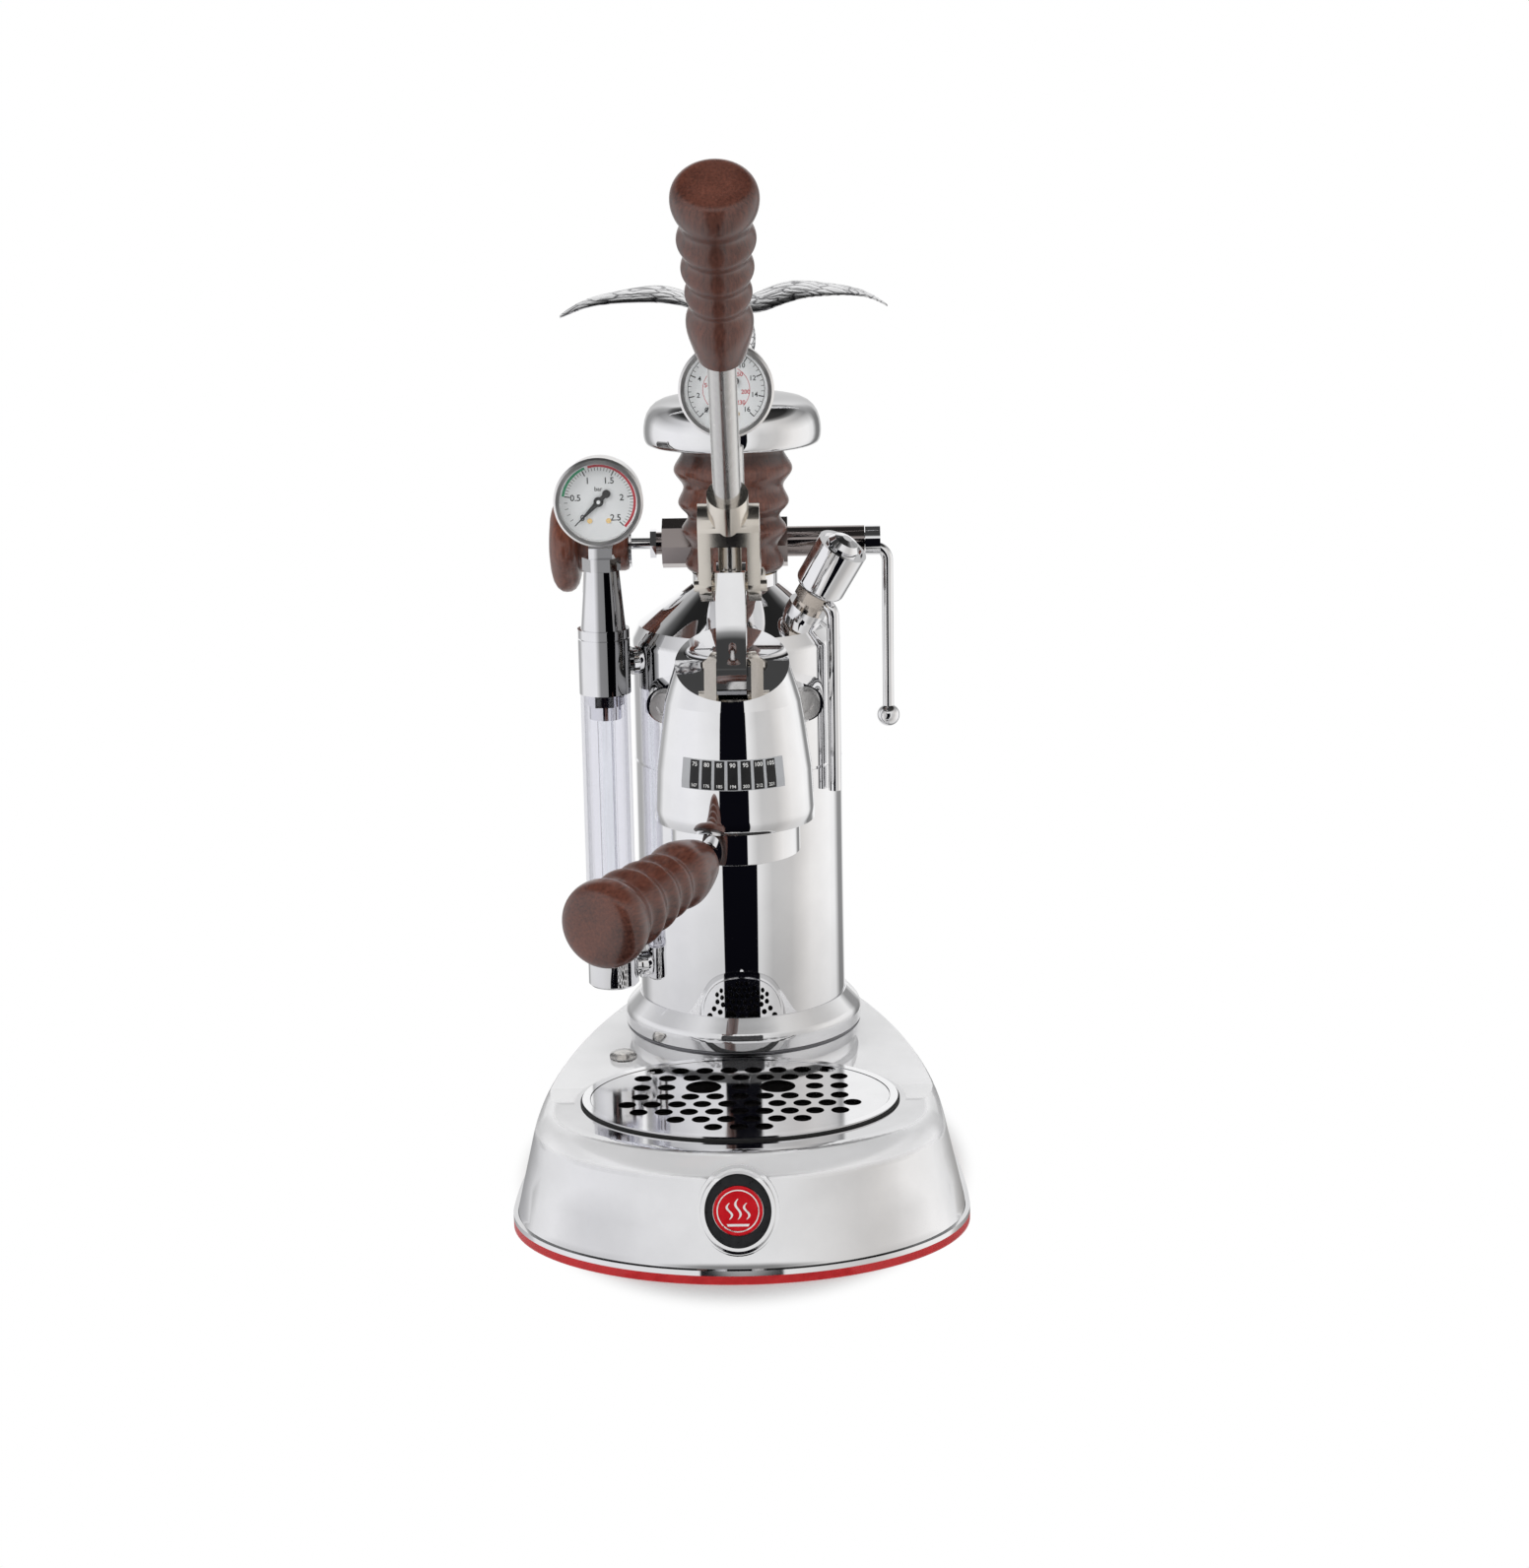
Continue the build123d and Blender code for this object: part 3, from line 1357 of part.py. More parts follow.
# Discharge tube from the hexagon's outer flat down beside the boiler
tube_join = (
    relief_foot + relief_axis * (relief_hex_bottom + relief_hex_height / 2)
    + relief_side * (relief_hex_flats / 2)
)
tube_lead = (tube_reach - hypot(tube_join.X, tube_join.Y)) / cos(radians(relief_tilt))
tube_corner = tube_join + relief_side * tube_lead
with BuildPart() as discharge_tube:
    with BuildLine() as tube_path:
        FilletPolyline(
            tube_join, tube_corner, (tube_corner.X, tube_corner.Y, tube_bottom),
            radius=tube_bend,
        )
    with BuildSketch(Plane(tube_join, z_dir=relief_side)) as tube_section:
        Circle(tube_radius)
    sweep(tube_section.sketch, path=tube_path.line)

discharge_tube.part.label = "discharge_tube"
export_step(discharge_tube.part, "parts/discharge_tube.step")

# Outline of the bell, and the slanted plane that ends it
bell_points = [
    (radius_share * bell_radius, bell_bottom + height_share * bell_height)
    for radius_share, height_share in zip(bell_radii_shares, bell_height_shares)
]
face_slope = (face_rear_height - face_front_height) / (face_front - face_rear)
bell_top = bell_points[-1][1]


def bell_radius_at(height):
    """Radius of the bell at a height, between its outline's points."""
    for (low_radius, low), (high_radius, high) in zip(bell_points, bell_points[1:]):
        if low <= height <= high:
            return low_radius + (high_radius - low_radius) * (height - low) / (high - low)
    return bell_points[-1][0]


def sector(frame, radius, half_angle, bottom, top, centre_angle, mode=Mode.ADD):
    """A pie slice of a disc about the frame's z axis."""
    with BuildSketch(frame.offset(bottom)) as slice_plan:
        with BuildLine():
            rim = CenterArc((0, 0), radius, centre_angle - half_angle, 2 * half_angle)
            Polyline(rim @ 1, (0, 0), rim @ 0)
        make_face()
    extrude(slice_plan.sketch, amount=top - bottom, mode=mode)


# Two lugs lie left and right of the portafilter's handle
handle_angle = -90.0 - portafilter_azimuth
lug_angles = (handle_angle + 90.0, handle_angle - 90.0)

with BuildPart() as bell_form:
    turn(group_frame, [(0, bell_bottom), *bell_points, (0, bell_top)])
    with BuildSketch(Plane.YZ.offset(-bell_radius)) as above_face:
        with BuildLine():
            Polyline(
                (-2 * face_front, face_front_height - face_slope * face_front),
                (0, face_front_height + face_slope * face_front),
                (0, 2 * band_top), (-2 * face_front, 2 * band_top), close=True,
            )
        make_face()
    extrude(above_face.sketch, amount=2 * bell_radius, mode=Mode.SUBTRACT)

# The pin's path in the turning fork gives the slot's corners
pin_lever = group_reach - fulcrum_back
travel_per_radian = piston_travel / radians(lever_swing)


def pin_place(turned):
    """The piston pin seen from the fork after a turn, relative to the fulcrum."""
    drop = travel_per_radian * radians(turned)
    cosine = cos(radians(turned))
    sine = sin(radians(turned))
    return (
        -fulcrum_back - pin_lever * cosine - drop * sine,
        fulcrum_height + pin_lever * sine - drop * cosine,
    )


slot_places = [pin_place(lever_swing * share) for share in (0, 0.25, 0.5, 0.75, 1)]


def fork_end(turned):
    """The round end of the fork's arms after a turn of the lever."""
    along = slot_places[-1][0] + fulcrum_back
    rise = slot_places[-1][1] - fulcrum_height
    cosine = cos(radians(turned))
    sine = sin(radians(turned))
    return (
        along * cosine - rise * sine - fulcrum_back,
        along * sine + rise * cosine + fulcrum_height,
    )


# Group body: bell, tower for the rod and the lever, duct and flange
with BuildPart() as group_body:
    add(bell_form.part)
    rod(duct_frame, duct_radius, flange_front, group_reach)
    add(group_pad(flange_front, flange_front - flange_rear))
    with BuildSketch(Plane.YZ.offset(-tower_half_width)) as tower:
        with BuildLine():
            foot = (-band_foot_front, band_foot_height)
            straight = (-band_front, band_straight)
            sweep_in = TangentArc(straight, foot, tangent=(0, -1))
            Polyline(
                straight, (-band_front, band_top), (-band_rear, band_top),
                (-band_rear, band_foot_height), foot,
            )
        make_face()
    extrude(tower.sketch, amount=2 * tower_half_width)
    with BuildSketch(Plane.YZ.offset(-tower_half_width)) as lug:
        with BuildLine():
            CenterArc((-fulcrum_back, fulcrum_height), lug_radius, 0, 360)
            Polyline(
                (-lug_foot_front, lug_foot_height), (-lug_foot_rear, lug_foot_height),
                (-lug_foot_rear, lug_foot_height + overrun), close=True,
            )
        make_hull()
    extrude(lug.sketch, amount=2 * tower_half_width)
    rod(
        Plane((0, -fulcrum_back, fulcrum_height), x_dir=(0, 1, 0), z_dir=(1, 0, 0)),
        fulcrum_pin_radius + running_gap, -tower_half_width, tower_half_width, Mode.SUBTRACT,
    )
    for side in (-arm_outside - arm_room, arm_inside - arm_room):
        with BuildSketch(Plane.YZ.offset(side)) as arm_pocket:
            with BuildLine():
                for share in arm_room_shares:
                    CenterArc(fork_end(lever_swing * share), slot_end_radius + arm_room, 0, 360)
            make_hull()
        extrude(
            arm_pocket.sketch, amount=arm_outside - arm_inside + 2 * arm_room, mode=Mode.SUBTRACT
        )
    rod(group_frame, recess_radius, bell_bottom, recess_top, Mode.SUBTRACT)
    rod(group_frame, cavity_radius, bell_bottom, cavity_top, Mode.SUBTRACT)
    rod(group_frame, rod_radius + running_gap, cavity_top - overrun, 2 * band_top, Mode.SUBTRACT)
    rod(duct_frame, passage_radius, flange_rear, group_reach - sleeve_outer, Mode.SUBTRACT)
    for side in (-bolt_side, bolt_side):
        rod(
            Plane((side, 0, duct_height), x_dir=(1, 0, 0), z_dir=(0, -1, 0)),
            bolt_radius + running_gap, flange_rear, flange_front, Mode.SUBTRACT,
        )
    rod(group_frame, recess_radius, bell_bottom, bayonet_top)
    rod(group_frame, bayonet_radius, bell_bottom, bayonet_top, Mode.SUBTRACT)
    for angle in lug_angles:
        sector(group_frame, recess_radius, lug_notch_half_angle, bell_bottom, bayonet_top,
               angle, Mode.SUBTRACT)

group_body.part.label = "group_body"
export_step(group_body.part, "parts/group_body.step")

# Two bolts that hold the group's flange
with BuildPart() as group_bolts:
    for side in (-bolt_side, bolt_side):
        bolt_frame = Plane((side, 0, duct_height), x_dir=(1, 0, 0), z_dir=(0, -1, 0))
        rod(bolt_frame, bolt_radius, flange_front - bolt_depth, flange_front)
        rod(bolt_frame, bolt_head_radius, flange_front, flange_front + bolt_head_height)
        prism(bolt_frame, bolt_head_radius, 6, flange_front + bolt_head_height / 2,
              flange_front + bolt_head_height, Mode.SUBTRACT)

group_bolts.part.label = "group_bolts"
export_step(group_bolts.part, "parts/group_bolts.step")

# Sleeve that the piston runs in
with BuildPart() as piston_sleeve:
    rod(group_frame, sleeve_outer, sleeve_bottom, sleeve_top)
    rod(group_frame, sleeve_bore, sleeve_bottom, sleeve_top, Mode.SUBTRACT)

piston_sleeve.part.label = "piston_sleeve"
export_step(piston_sleeve.part, "parts/piston_sleeve.step")

# Shower screen under the sleeve
with BuildPart() as shower_screen:
    rod(group_frame, sleeve_outer, sleeve_bottom - screen_height, sleeve_bottom)
    with BuildSketch(group_frame.offset(sleeve_bottom - screen_height)) as screen_holes:
        with PolarLocations(sleeve_bore * 0.8, 16):
            Circle(screen_height)
        with PolarLocations(sleeve_bore * 0.45, 9):
            Circle(screen_height)
    extrude(screen_holes.sketch, amount=screen_height, mode=Mode.SUBTRACT)

shower_screen.part.label = "shower_screen"
export_step(shower_screen.part, "parts/shower_screen.step")

# Gasket that the basket's rim presses on
with BuildPart() as portafilter_gasket:
    rod(group_frame, recess_radius - near_gap, gasket_bottom, recess_top)
    rod(group_frame, gasket_bore, gasket_bottom, recess_top, Mode.SUBTRACT)

portafilter_gasket.part.label = "portafilter_gasket"
export_step(portafilter_gasket.part, "parts/portafilter_gasket.step")

# Temperature strip on the front of the bell
strip_points = [
    (bell_radius_at(strip_bottom), strip_bottom),
    *[point for point in bell_points if strip_bottom < point[1] < strip_top],
    (bell_radius_at(strip_top), strip_top),
]
strip_inside = [(radius + running_gap, height) for radius, height in strip_points]
strip_outside = [(radius + strip_thickness, height) for radius, height in reversed(strip_points)]
strip_frame = spun(group_frame, -90 - strip_half_angle)
with BuildPart() as temperature_strip:
    with BuildSketch(side_of(strip_frame)) as strip_section:
        with BuildLine():
            Polyline(*strip_inside, *strip_outside, close=True)
        make_face()
    revolve(
        strip_section.sketch, axis=Axis(group_frame.origin, (0, 0, 1)),
        revolution_arc=2 * strip_half_angle,
    )

temperature_strip.part.label = "temperature_strip"
export_step(temperature_strip.part, "parts/temperature_strip.step")

# Piston with two grooves for its seals
piston_radius = sleeve_bore - running_gap
piston_top = piston_bottom + piston_height
with BuildPart() as piston:
    rod(group_frame, piston_radius, piston_bottom, piston_top)
    for share in (seal_bottom_share, seal_top_share):
        groove_bottom = piston_bottom + share * piston_height
        with BuildSketch(group_frame.offset(groove_bottom)) as groove:
            Circle(piston_radius)
            Circle(piston_radius - seal_depth, mode=Mode.SUBTRACT)
        extrude(groove.sketch, amount=seal_height, mode=Mode.SUBTRACT)
    rod(group_frame, rod_radius, piston_bottom + piston_height / 2, piston_top, Mode.SUBTRACT)

piston.part.label = "piston"
export_step(piston.part, "parts/piston.step")

# Piston seals
with BuildPart() as piston_seals:
    for share in (seal_bottom_share, seal_top_share):
        groove_bottom = piston_bottom + share * piston_height
        with BuildSketch(group_frame.offset(groove_bottom)) as seal:
            Circle(piston_radius)
            Circle(piston_radius - seal_depth, mode=Mode.SUBTRACT)
        extrude(seal.sketch, amount=seal_height)

piston_seals.part.label = "piston_seals"
export_step(piston_seals.part, "parts/piston_seals.step")

# Piston rod with the thicker adaptor under the gauge
pin_frame = Plane((0, -group_reach, fulcrum_height), x_dir=(0, 1, 0), z_dir=(1, 0, 0))
with BuildPart() as piston_rod:
    rod(group_frame, rod_radius, piston_bottom + piston_height / 2, adaptor_bottom)
    rod(group_frame, adaptor_radius, adaptor_bottom, adaptor_top)
    rod(pin_frame, piston_pin_radius, -rod_radius, rod_radius, Mode.SUBTRACT)

piston_rod.part.label = "piston_rod"
export_step(piston_rod.part, "parts/piston_rod.step")

# Pin through the rod and the fork's slots
with BuildPart() as piston_pin:
    rod(pin_frame, piston_pin_radius, -piston_pin_half_length, piston_pin_half_length)

piston_pin.part.label = "piston_pin"
export_step(piston_pin.part, "parts/piston_pin.step")

boss_foot = (
    -lever_front + sin(radians(lever_lean)) * boss_start * boss_foot_share,
    lever_height - cos(radians(lever_lean)) * boss_start * boss_foot_share,
)

# Fork: two arms, the bridge between them and the split boss for the rod
with BuildPart() as lever_fork:
    with BuildSketch(Plane.YZ.offset(-arm_outside)) as fork_side:
        with BuildLine():
            CenterArc((-fulcrum_back, fulcrum_height), arm_foot_radius, 0, 360)
            CenterArc(slot_places[-1], slot_end_radius, 0, 360)
            CenterArc(boss_foot, boss_radius, 0, 360)
        make_hull()
    extrude(fork_side.sketch, amount=2 * arm_outside)
    with BuildSketch(Plane.YZ.offset(-arm_inside)) as window:
        with Locations((-fulcrum_back, fulcrum_height)):
            Circle(bridge_inner_radius)
    extrude(window.sketch, amount=2 * arm_inside, mode=Mode.SUBTRACT)
    rod(lever_frame, boss_radius, -boss_start, boss_end)
    with BuildSketch(Plane.YZ.offset(-arm_inside)) as rod_room:
        with Locations((0, lever_height)):
            Rectangle(2 * bridge_back, 2 * boss_radius + lever_height)
    extrude(rod_room.sketch, amount=2 * arm_inside, mode=Mode.SUBTRACT)
    with BuildSketch(Plane.YZ.offset(-arm_inside)) as arm_gap:
        with Locations((-fulcrum_back, bridge_bottom)):
            Rectangle(2 * lever_front, lever_front, align=(Align.CENTER, Align.MAX))
    extrude(arm_gap.sketch, amount=2 * arm_inside, mode=Mode.SUBTRACT)
    with BuildSketch(Plane.YZ.offset(-arm_outside)) as slots:
        with BuildLine():
            for place in slot_places:
                CenterArc(place, piston_pin_radius + near_gap, 0, 360)
        make_hull()
    extrude(slots.sketch, amount=2 * arm_outside, mode=Mode.SUBTRACT)
    rod(
        Plane((0, -fulcrum_back, fulcrum_height), x_dir=(0, 1, 0), z_dir=(1, 0, 0)),
        fulcrum_pin_radius, -arm_outside, arm_outside, Mode.SUBTRACT,
    )
    rod(lever_frame, lever_rod_radius, 0, boss_end, Mode.SUBTRACT)

lever_fork.part.label = "lever_fork"
export_step(lever_fork.part, "parts/lever_fork.step")

# Steel rod of the lever
with BuildPart() as lever_rod:
    rod(lever_frame, lever_rod_radius, 0, handle_start + handle_rod_depth)

lever_rod.part.label = "lever_rod"
export_step(lever_rod.part, "parts/lever_rod.step")


def turned_handle(frame, start, end, radius, bore, bore_depth):
    """A wooden handle turned in beads, with its knob at the far end."""
    length = end - start
    points = [
        (radius * radius_share, start + length * length_share)
        for radius_share, length_share in zip(handle_radii_shares, handle_length_shares)
    ]
    with BuildPart() as handle:
        with BuildSketch(side_of(frame)):
            with BuildLine():
                side = Spline(*points)
                crown = Spline(
                    side @ 1, (radius * handle_crown_share, end), (0, end),
                    tangents=[side % 1, (-1, 0)],
                )
                Polyline(crown @ 1, (0, start), side @ 0)
            make_face()
        revolve(axis=Axis(frame.origin, frame.z_dir))
        rod(frame, bore, start, start + bore_depth, Mode.SUBTRACT)
    return handle


# Wooden handle of the lever
lever_handle = turned_handle(
    lever_frame, handle_start, handle_end, handle_radius, lever_rod_radius, handle_rod_depth
)
lever_handle.part.label = "lever_handle"
export_step(lever_handle.part, "parts/lever_handle.step")

# Fulcrum pin with domed heads
fulcrum_frame = Plane((0, -fulcrum_back, fulcrum_height), x_dir=(0, 1, 0), z_dir=(1, 0, 0))
with BuildPart() as fulcrum_pin:
    rod(fulcrum_frame, fulcrum_pin_radius, -arm_outside, arm_outside)
    for way in (-1, 1):
        head_frame = Plane(
            (way * arm_outside, -fulcrum_back, fulcrum_height), x_dir=(0, 1, 0), z_dir=(way, 0, 0)
        )
        turn(head_frame, [
            (0, 0), (pin_head_radius, 0), (pin_head_radius, pin_head_height * 0.4),
            (pin_head_radius * 0.6, pin_head_height), (0, pin_head_height),
        ])

fulcrum_pin.part.label = "fulcrum_pin"
export_step(fulcrum_pin.part, "parts/fulcrum_pin.step")

# Portafilter body: an open ring with two bayonet lugs and the handle's ferrule
with BuildPart() as portafilter_body:
    rod(group_frame, portafilter_radius, portafilter_bottom, portafilter_collar_top)
    for angle in lug_angles:
        sector(group_frame, bayonet_lug_radius, bayonet_lug_half_angle, bayonet_lug_bottom,
               portafilter_collar_top, angle)
    turn(handle_frame, [
        (0, ferrule_start - overrun), (ferrule_front_radius, ferrule_start - overrun),
        (ferrule_front_radius, ferrule_start), (ferrule_back_radius, ferrule_end - overrun),
        (ferrule_back_radius, ferrule_end), (0, ferrule_end),
    ])
    rod(handle_frame, portafilter_tang_radius, ferrule_end, ferrule_end + portafilter_tang_length)
    rod(
        group_frame, portafilter_bore, portafilter_bottom - 2 * overrun,
        portafilter_collar_top, Mode.SUBTRACT,
    )

portafilter_body.part.label = "portafilter_body"
export_step(portafilter_body.part, "parts/portafilter_body.step")

# Filter basket: a rim, a wall and a floor with fine holes
rim_bottom = portafilter_collar_top + running_gap
basket_bottom = portafilter_bottom - basket_proud
with BuildPart() as portafilter_basket:
    rod(group_frame, basket_radius, basket_bottom, rim_bottom)
    rod(group_frame, basket_radius - basket_wall, basket_bottom + basket_wall,
        rim_bottom, Mode.SUBTRACT)
    fillet(portafilter_basket.edges().group_by(Axis.Z)[0], radius=basket_wall * 2)
    with BuildSketch(group_frame.offset(rim_bottom)) as rim_plan:
        Circle(basket_rim)
        Circle(basket_radius - basket_wall, mode=Mode.SUBTRACT)
    extrude(rim_plan.sketch, amount=basket_rim_height)
    with BuildSketch(group_frame.offset(basket_bottom)) as basket_holes:
        with HexLocations(basket_hole_pitch / 2, 7, 7):
            Circle(basket_hole_radius)
    extrude(basket_holes.sketch, amount=basket_wall, mode=Mode.SUBTRACT)

portafilter_basket.part.label = "portafilter_basket"
export_step(portafilter_basket.part, "parts/portafilter_basket.step")

# Wooden handle of the portafilter
portafilter_handle = turned_handle(
    handle_frame, ferrule_end, portafilter_handle_end, portafilter_handle_radius,
    portafilter_tang_radius, portafilter_tang_length,
)
portafilter_handle.part.label = "portafilter_handle"
export_step(portafilter_handle.part, "parts/portafilter_handle.step")
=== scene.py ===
import math

import bmesh
import bpy
from mathutils import Matrix, Vector


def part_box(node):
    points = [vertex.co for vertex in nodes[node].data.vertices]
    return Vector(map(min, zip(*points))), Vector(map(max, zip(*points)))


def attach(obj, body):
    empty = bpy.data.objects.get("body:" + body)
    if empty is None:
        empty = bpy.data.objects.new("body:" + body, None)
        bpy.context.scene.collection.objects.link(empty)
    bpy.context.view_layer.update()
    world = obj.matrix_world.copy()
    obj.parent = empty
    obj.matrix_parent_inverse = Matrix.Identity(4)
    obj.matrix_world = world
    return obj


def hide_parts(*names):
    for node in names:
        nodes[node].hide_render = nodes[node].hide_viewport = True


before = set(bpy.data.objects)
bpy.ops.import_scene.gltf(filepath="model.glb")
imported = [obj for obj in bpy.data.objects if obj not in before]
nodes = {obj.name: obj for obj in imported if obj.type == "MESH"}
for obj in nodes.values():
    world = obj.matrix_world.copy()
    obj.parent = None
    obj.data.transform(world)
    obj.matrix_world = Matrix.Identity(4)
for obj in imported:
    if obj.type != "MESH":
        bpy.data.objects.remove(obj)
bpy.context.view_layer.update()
scene = bpy.context.scene
mm = 0.001

# Camera: its station in front of the machine and its aim
camera_place = Vector((0.0296, -1.3755, 0.5171))
camera_yaw = math.radians(0.745)
camera_pitch = math.radians(75.69)
camera_roll = math.radians(-1.02)
camera_lens = 70.4
camera_sensor = 36.0
camera_near = 0.05

# Directions of the wood's fibres
lever_lean = math.radians(40)
lever_axis = (0, -math.sin(lever_lean), math.cos(lever_lean))
holder_turn = math.radians(24.5)
holder_axis = (-math.sin(holder_turn), -math.cos(holder_turn), 0)
upright = (0, 0, 1)
knob_axis = (0, 0.3, 1)

# What is left of a clear glass's colour in its haze
clear_share = 0.97

# Heights on the machine at which a finish changes
tray_rim_start = 50.2 * mm
tray_rim_end = 50.6 * mm
face_round_start = 44 * mm
face_round_end = 50.5 * mm
deck_top = 50.6 * mm

# The group's axis and the gauges' scales, with angles in degrees
group_y = -92 * mm
dial_start = 225.0
dial_sweep = 270.0
dial_spindle = 2.3 * mm
print_height = 0.05 * mm
facing = Matrix.Rotation(math.radians(90), 4, "X")

# Light tent: what the chrome sees, as a brightness by direction round the machine, with
# angles in degrees from the front and from the floor, and lengths in metres
tent_centre = Vector((0, -0.05, 0.15))
tent_radius = 2.6
tent_columns = 480
tent_rows = 72
tent_low = -5.0
tent_high = 89.9
high_start = 8.0
high_span = 20.0
dark_half_angle = 20.0
dark_top = 25.0
dark_tone = (0.003, 0.003, 0.005)
warm_azimuth = 75.0
warm_reach = 60.0
warm_depth = 0.05
cool_azimuth = -80.0
cool_reach = 80.0
cool_depth = 0.025
side_tones = (
    (-180, 1.0), (-160, 1.0), (-150, 0.45), (-138, 0.42), (-122, 0.88), (-60, 0.90),
    (-24, 0.80), (24, 0.82), (38, 0.60), (62, 0.62), (88, 0.90), (118, 1.0), (130, 0.95),
    (141, 0.28), (153, 0.28), (162, 1.0), (180, 1.0),
)
high_tones = (
    (-180, 0.95), (-160, 0.90), (-148, 0.45), (-132, 0.28), (-110, 0.40), (-84, 0.58),
    (-52, 0.80), (0, 0.84), (46, 0.76), (78, 0.62), (110, 0.46), (132, 0.28), (148, 0.45),
    (160, 0.90), (180, 0.95),
)
top_tones = ((0, 0.0), (38, 0.0), (43, 0.70), (50, 1.0), (90, 1.0))
top_depth = 0.94
mat_tones = ((0, 0.70), (0.14, 0.70), (0.45, 0.96), (1.0, 1.0), (tent_radius, 1.0))
mat_reaches = (0.002, 0.08, 0.14, 0.2, 0.27, 0.35, 0.45, 0.7, 1.0, 1.6, tent_radius)
mat_height = 0.6 * mm
mat_top = 1 * mm

# Floor, world and lamps, where each lamp has a name, a place, a size and a power
floor_reach = 6.0
floor_tone = (0.64, 0.64, 0.64, 1)
# Painted soft shadow on the floor: an oval round the base plate, narrowed at the sides and moved
# forward, across which the grey floor fades to white
shadow_side_share = 0.93
shadow_forward = 7 * mm
shadow_full_share = 0.96
shadow_end_share = 1.16
world_level = 0.62
lamp_aim = Vector((0, 0, 0.2))
lamps = (
    ("key_left", (-1.3, -1.1, 1.5), 0.9, 13.0),
    ("key_right", (1.4, -0.9, 1.3), 0.9, 8.0),
    ("top", (0.0, 0.2, 1.9), 1.2, 10.0),
)


def make_camera():
    """The photograph's camera."""
    data = bpy.data.cameras.new("camera")
    data.lens = camera_lens
    data.sensor_width = camera_sensor
    data.clip_start = camera_near
    camera = bpy.data.objects.new("camera", data)
    turn = Matrix.Rotation(camera_yaw, 4, "Z") @ Matrix.Rotation(camera_pitch, 4, "X")
    turn = turn @ Matrix.Rotation(camera_roll, 4, "Z")
    camera.matrix_world = Matrix.Translation(camera_place) @ turn
    scene.collection.objects.link(camera)
    scene.camera = camera


make_camera()
scene.view_settings.view_transform = "Standard"


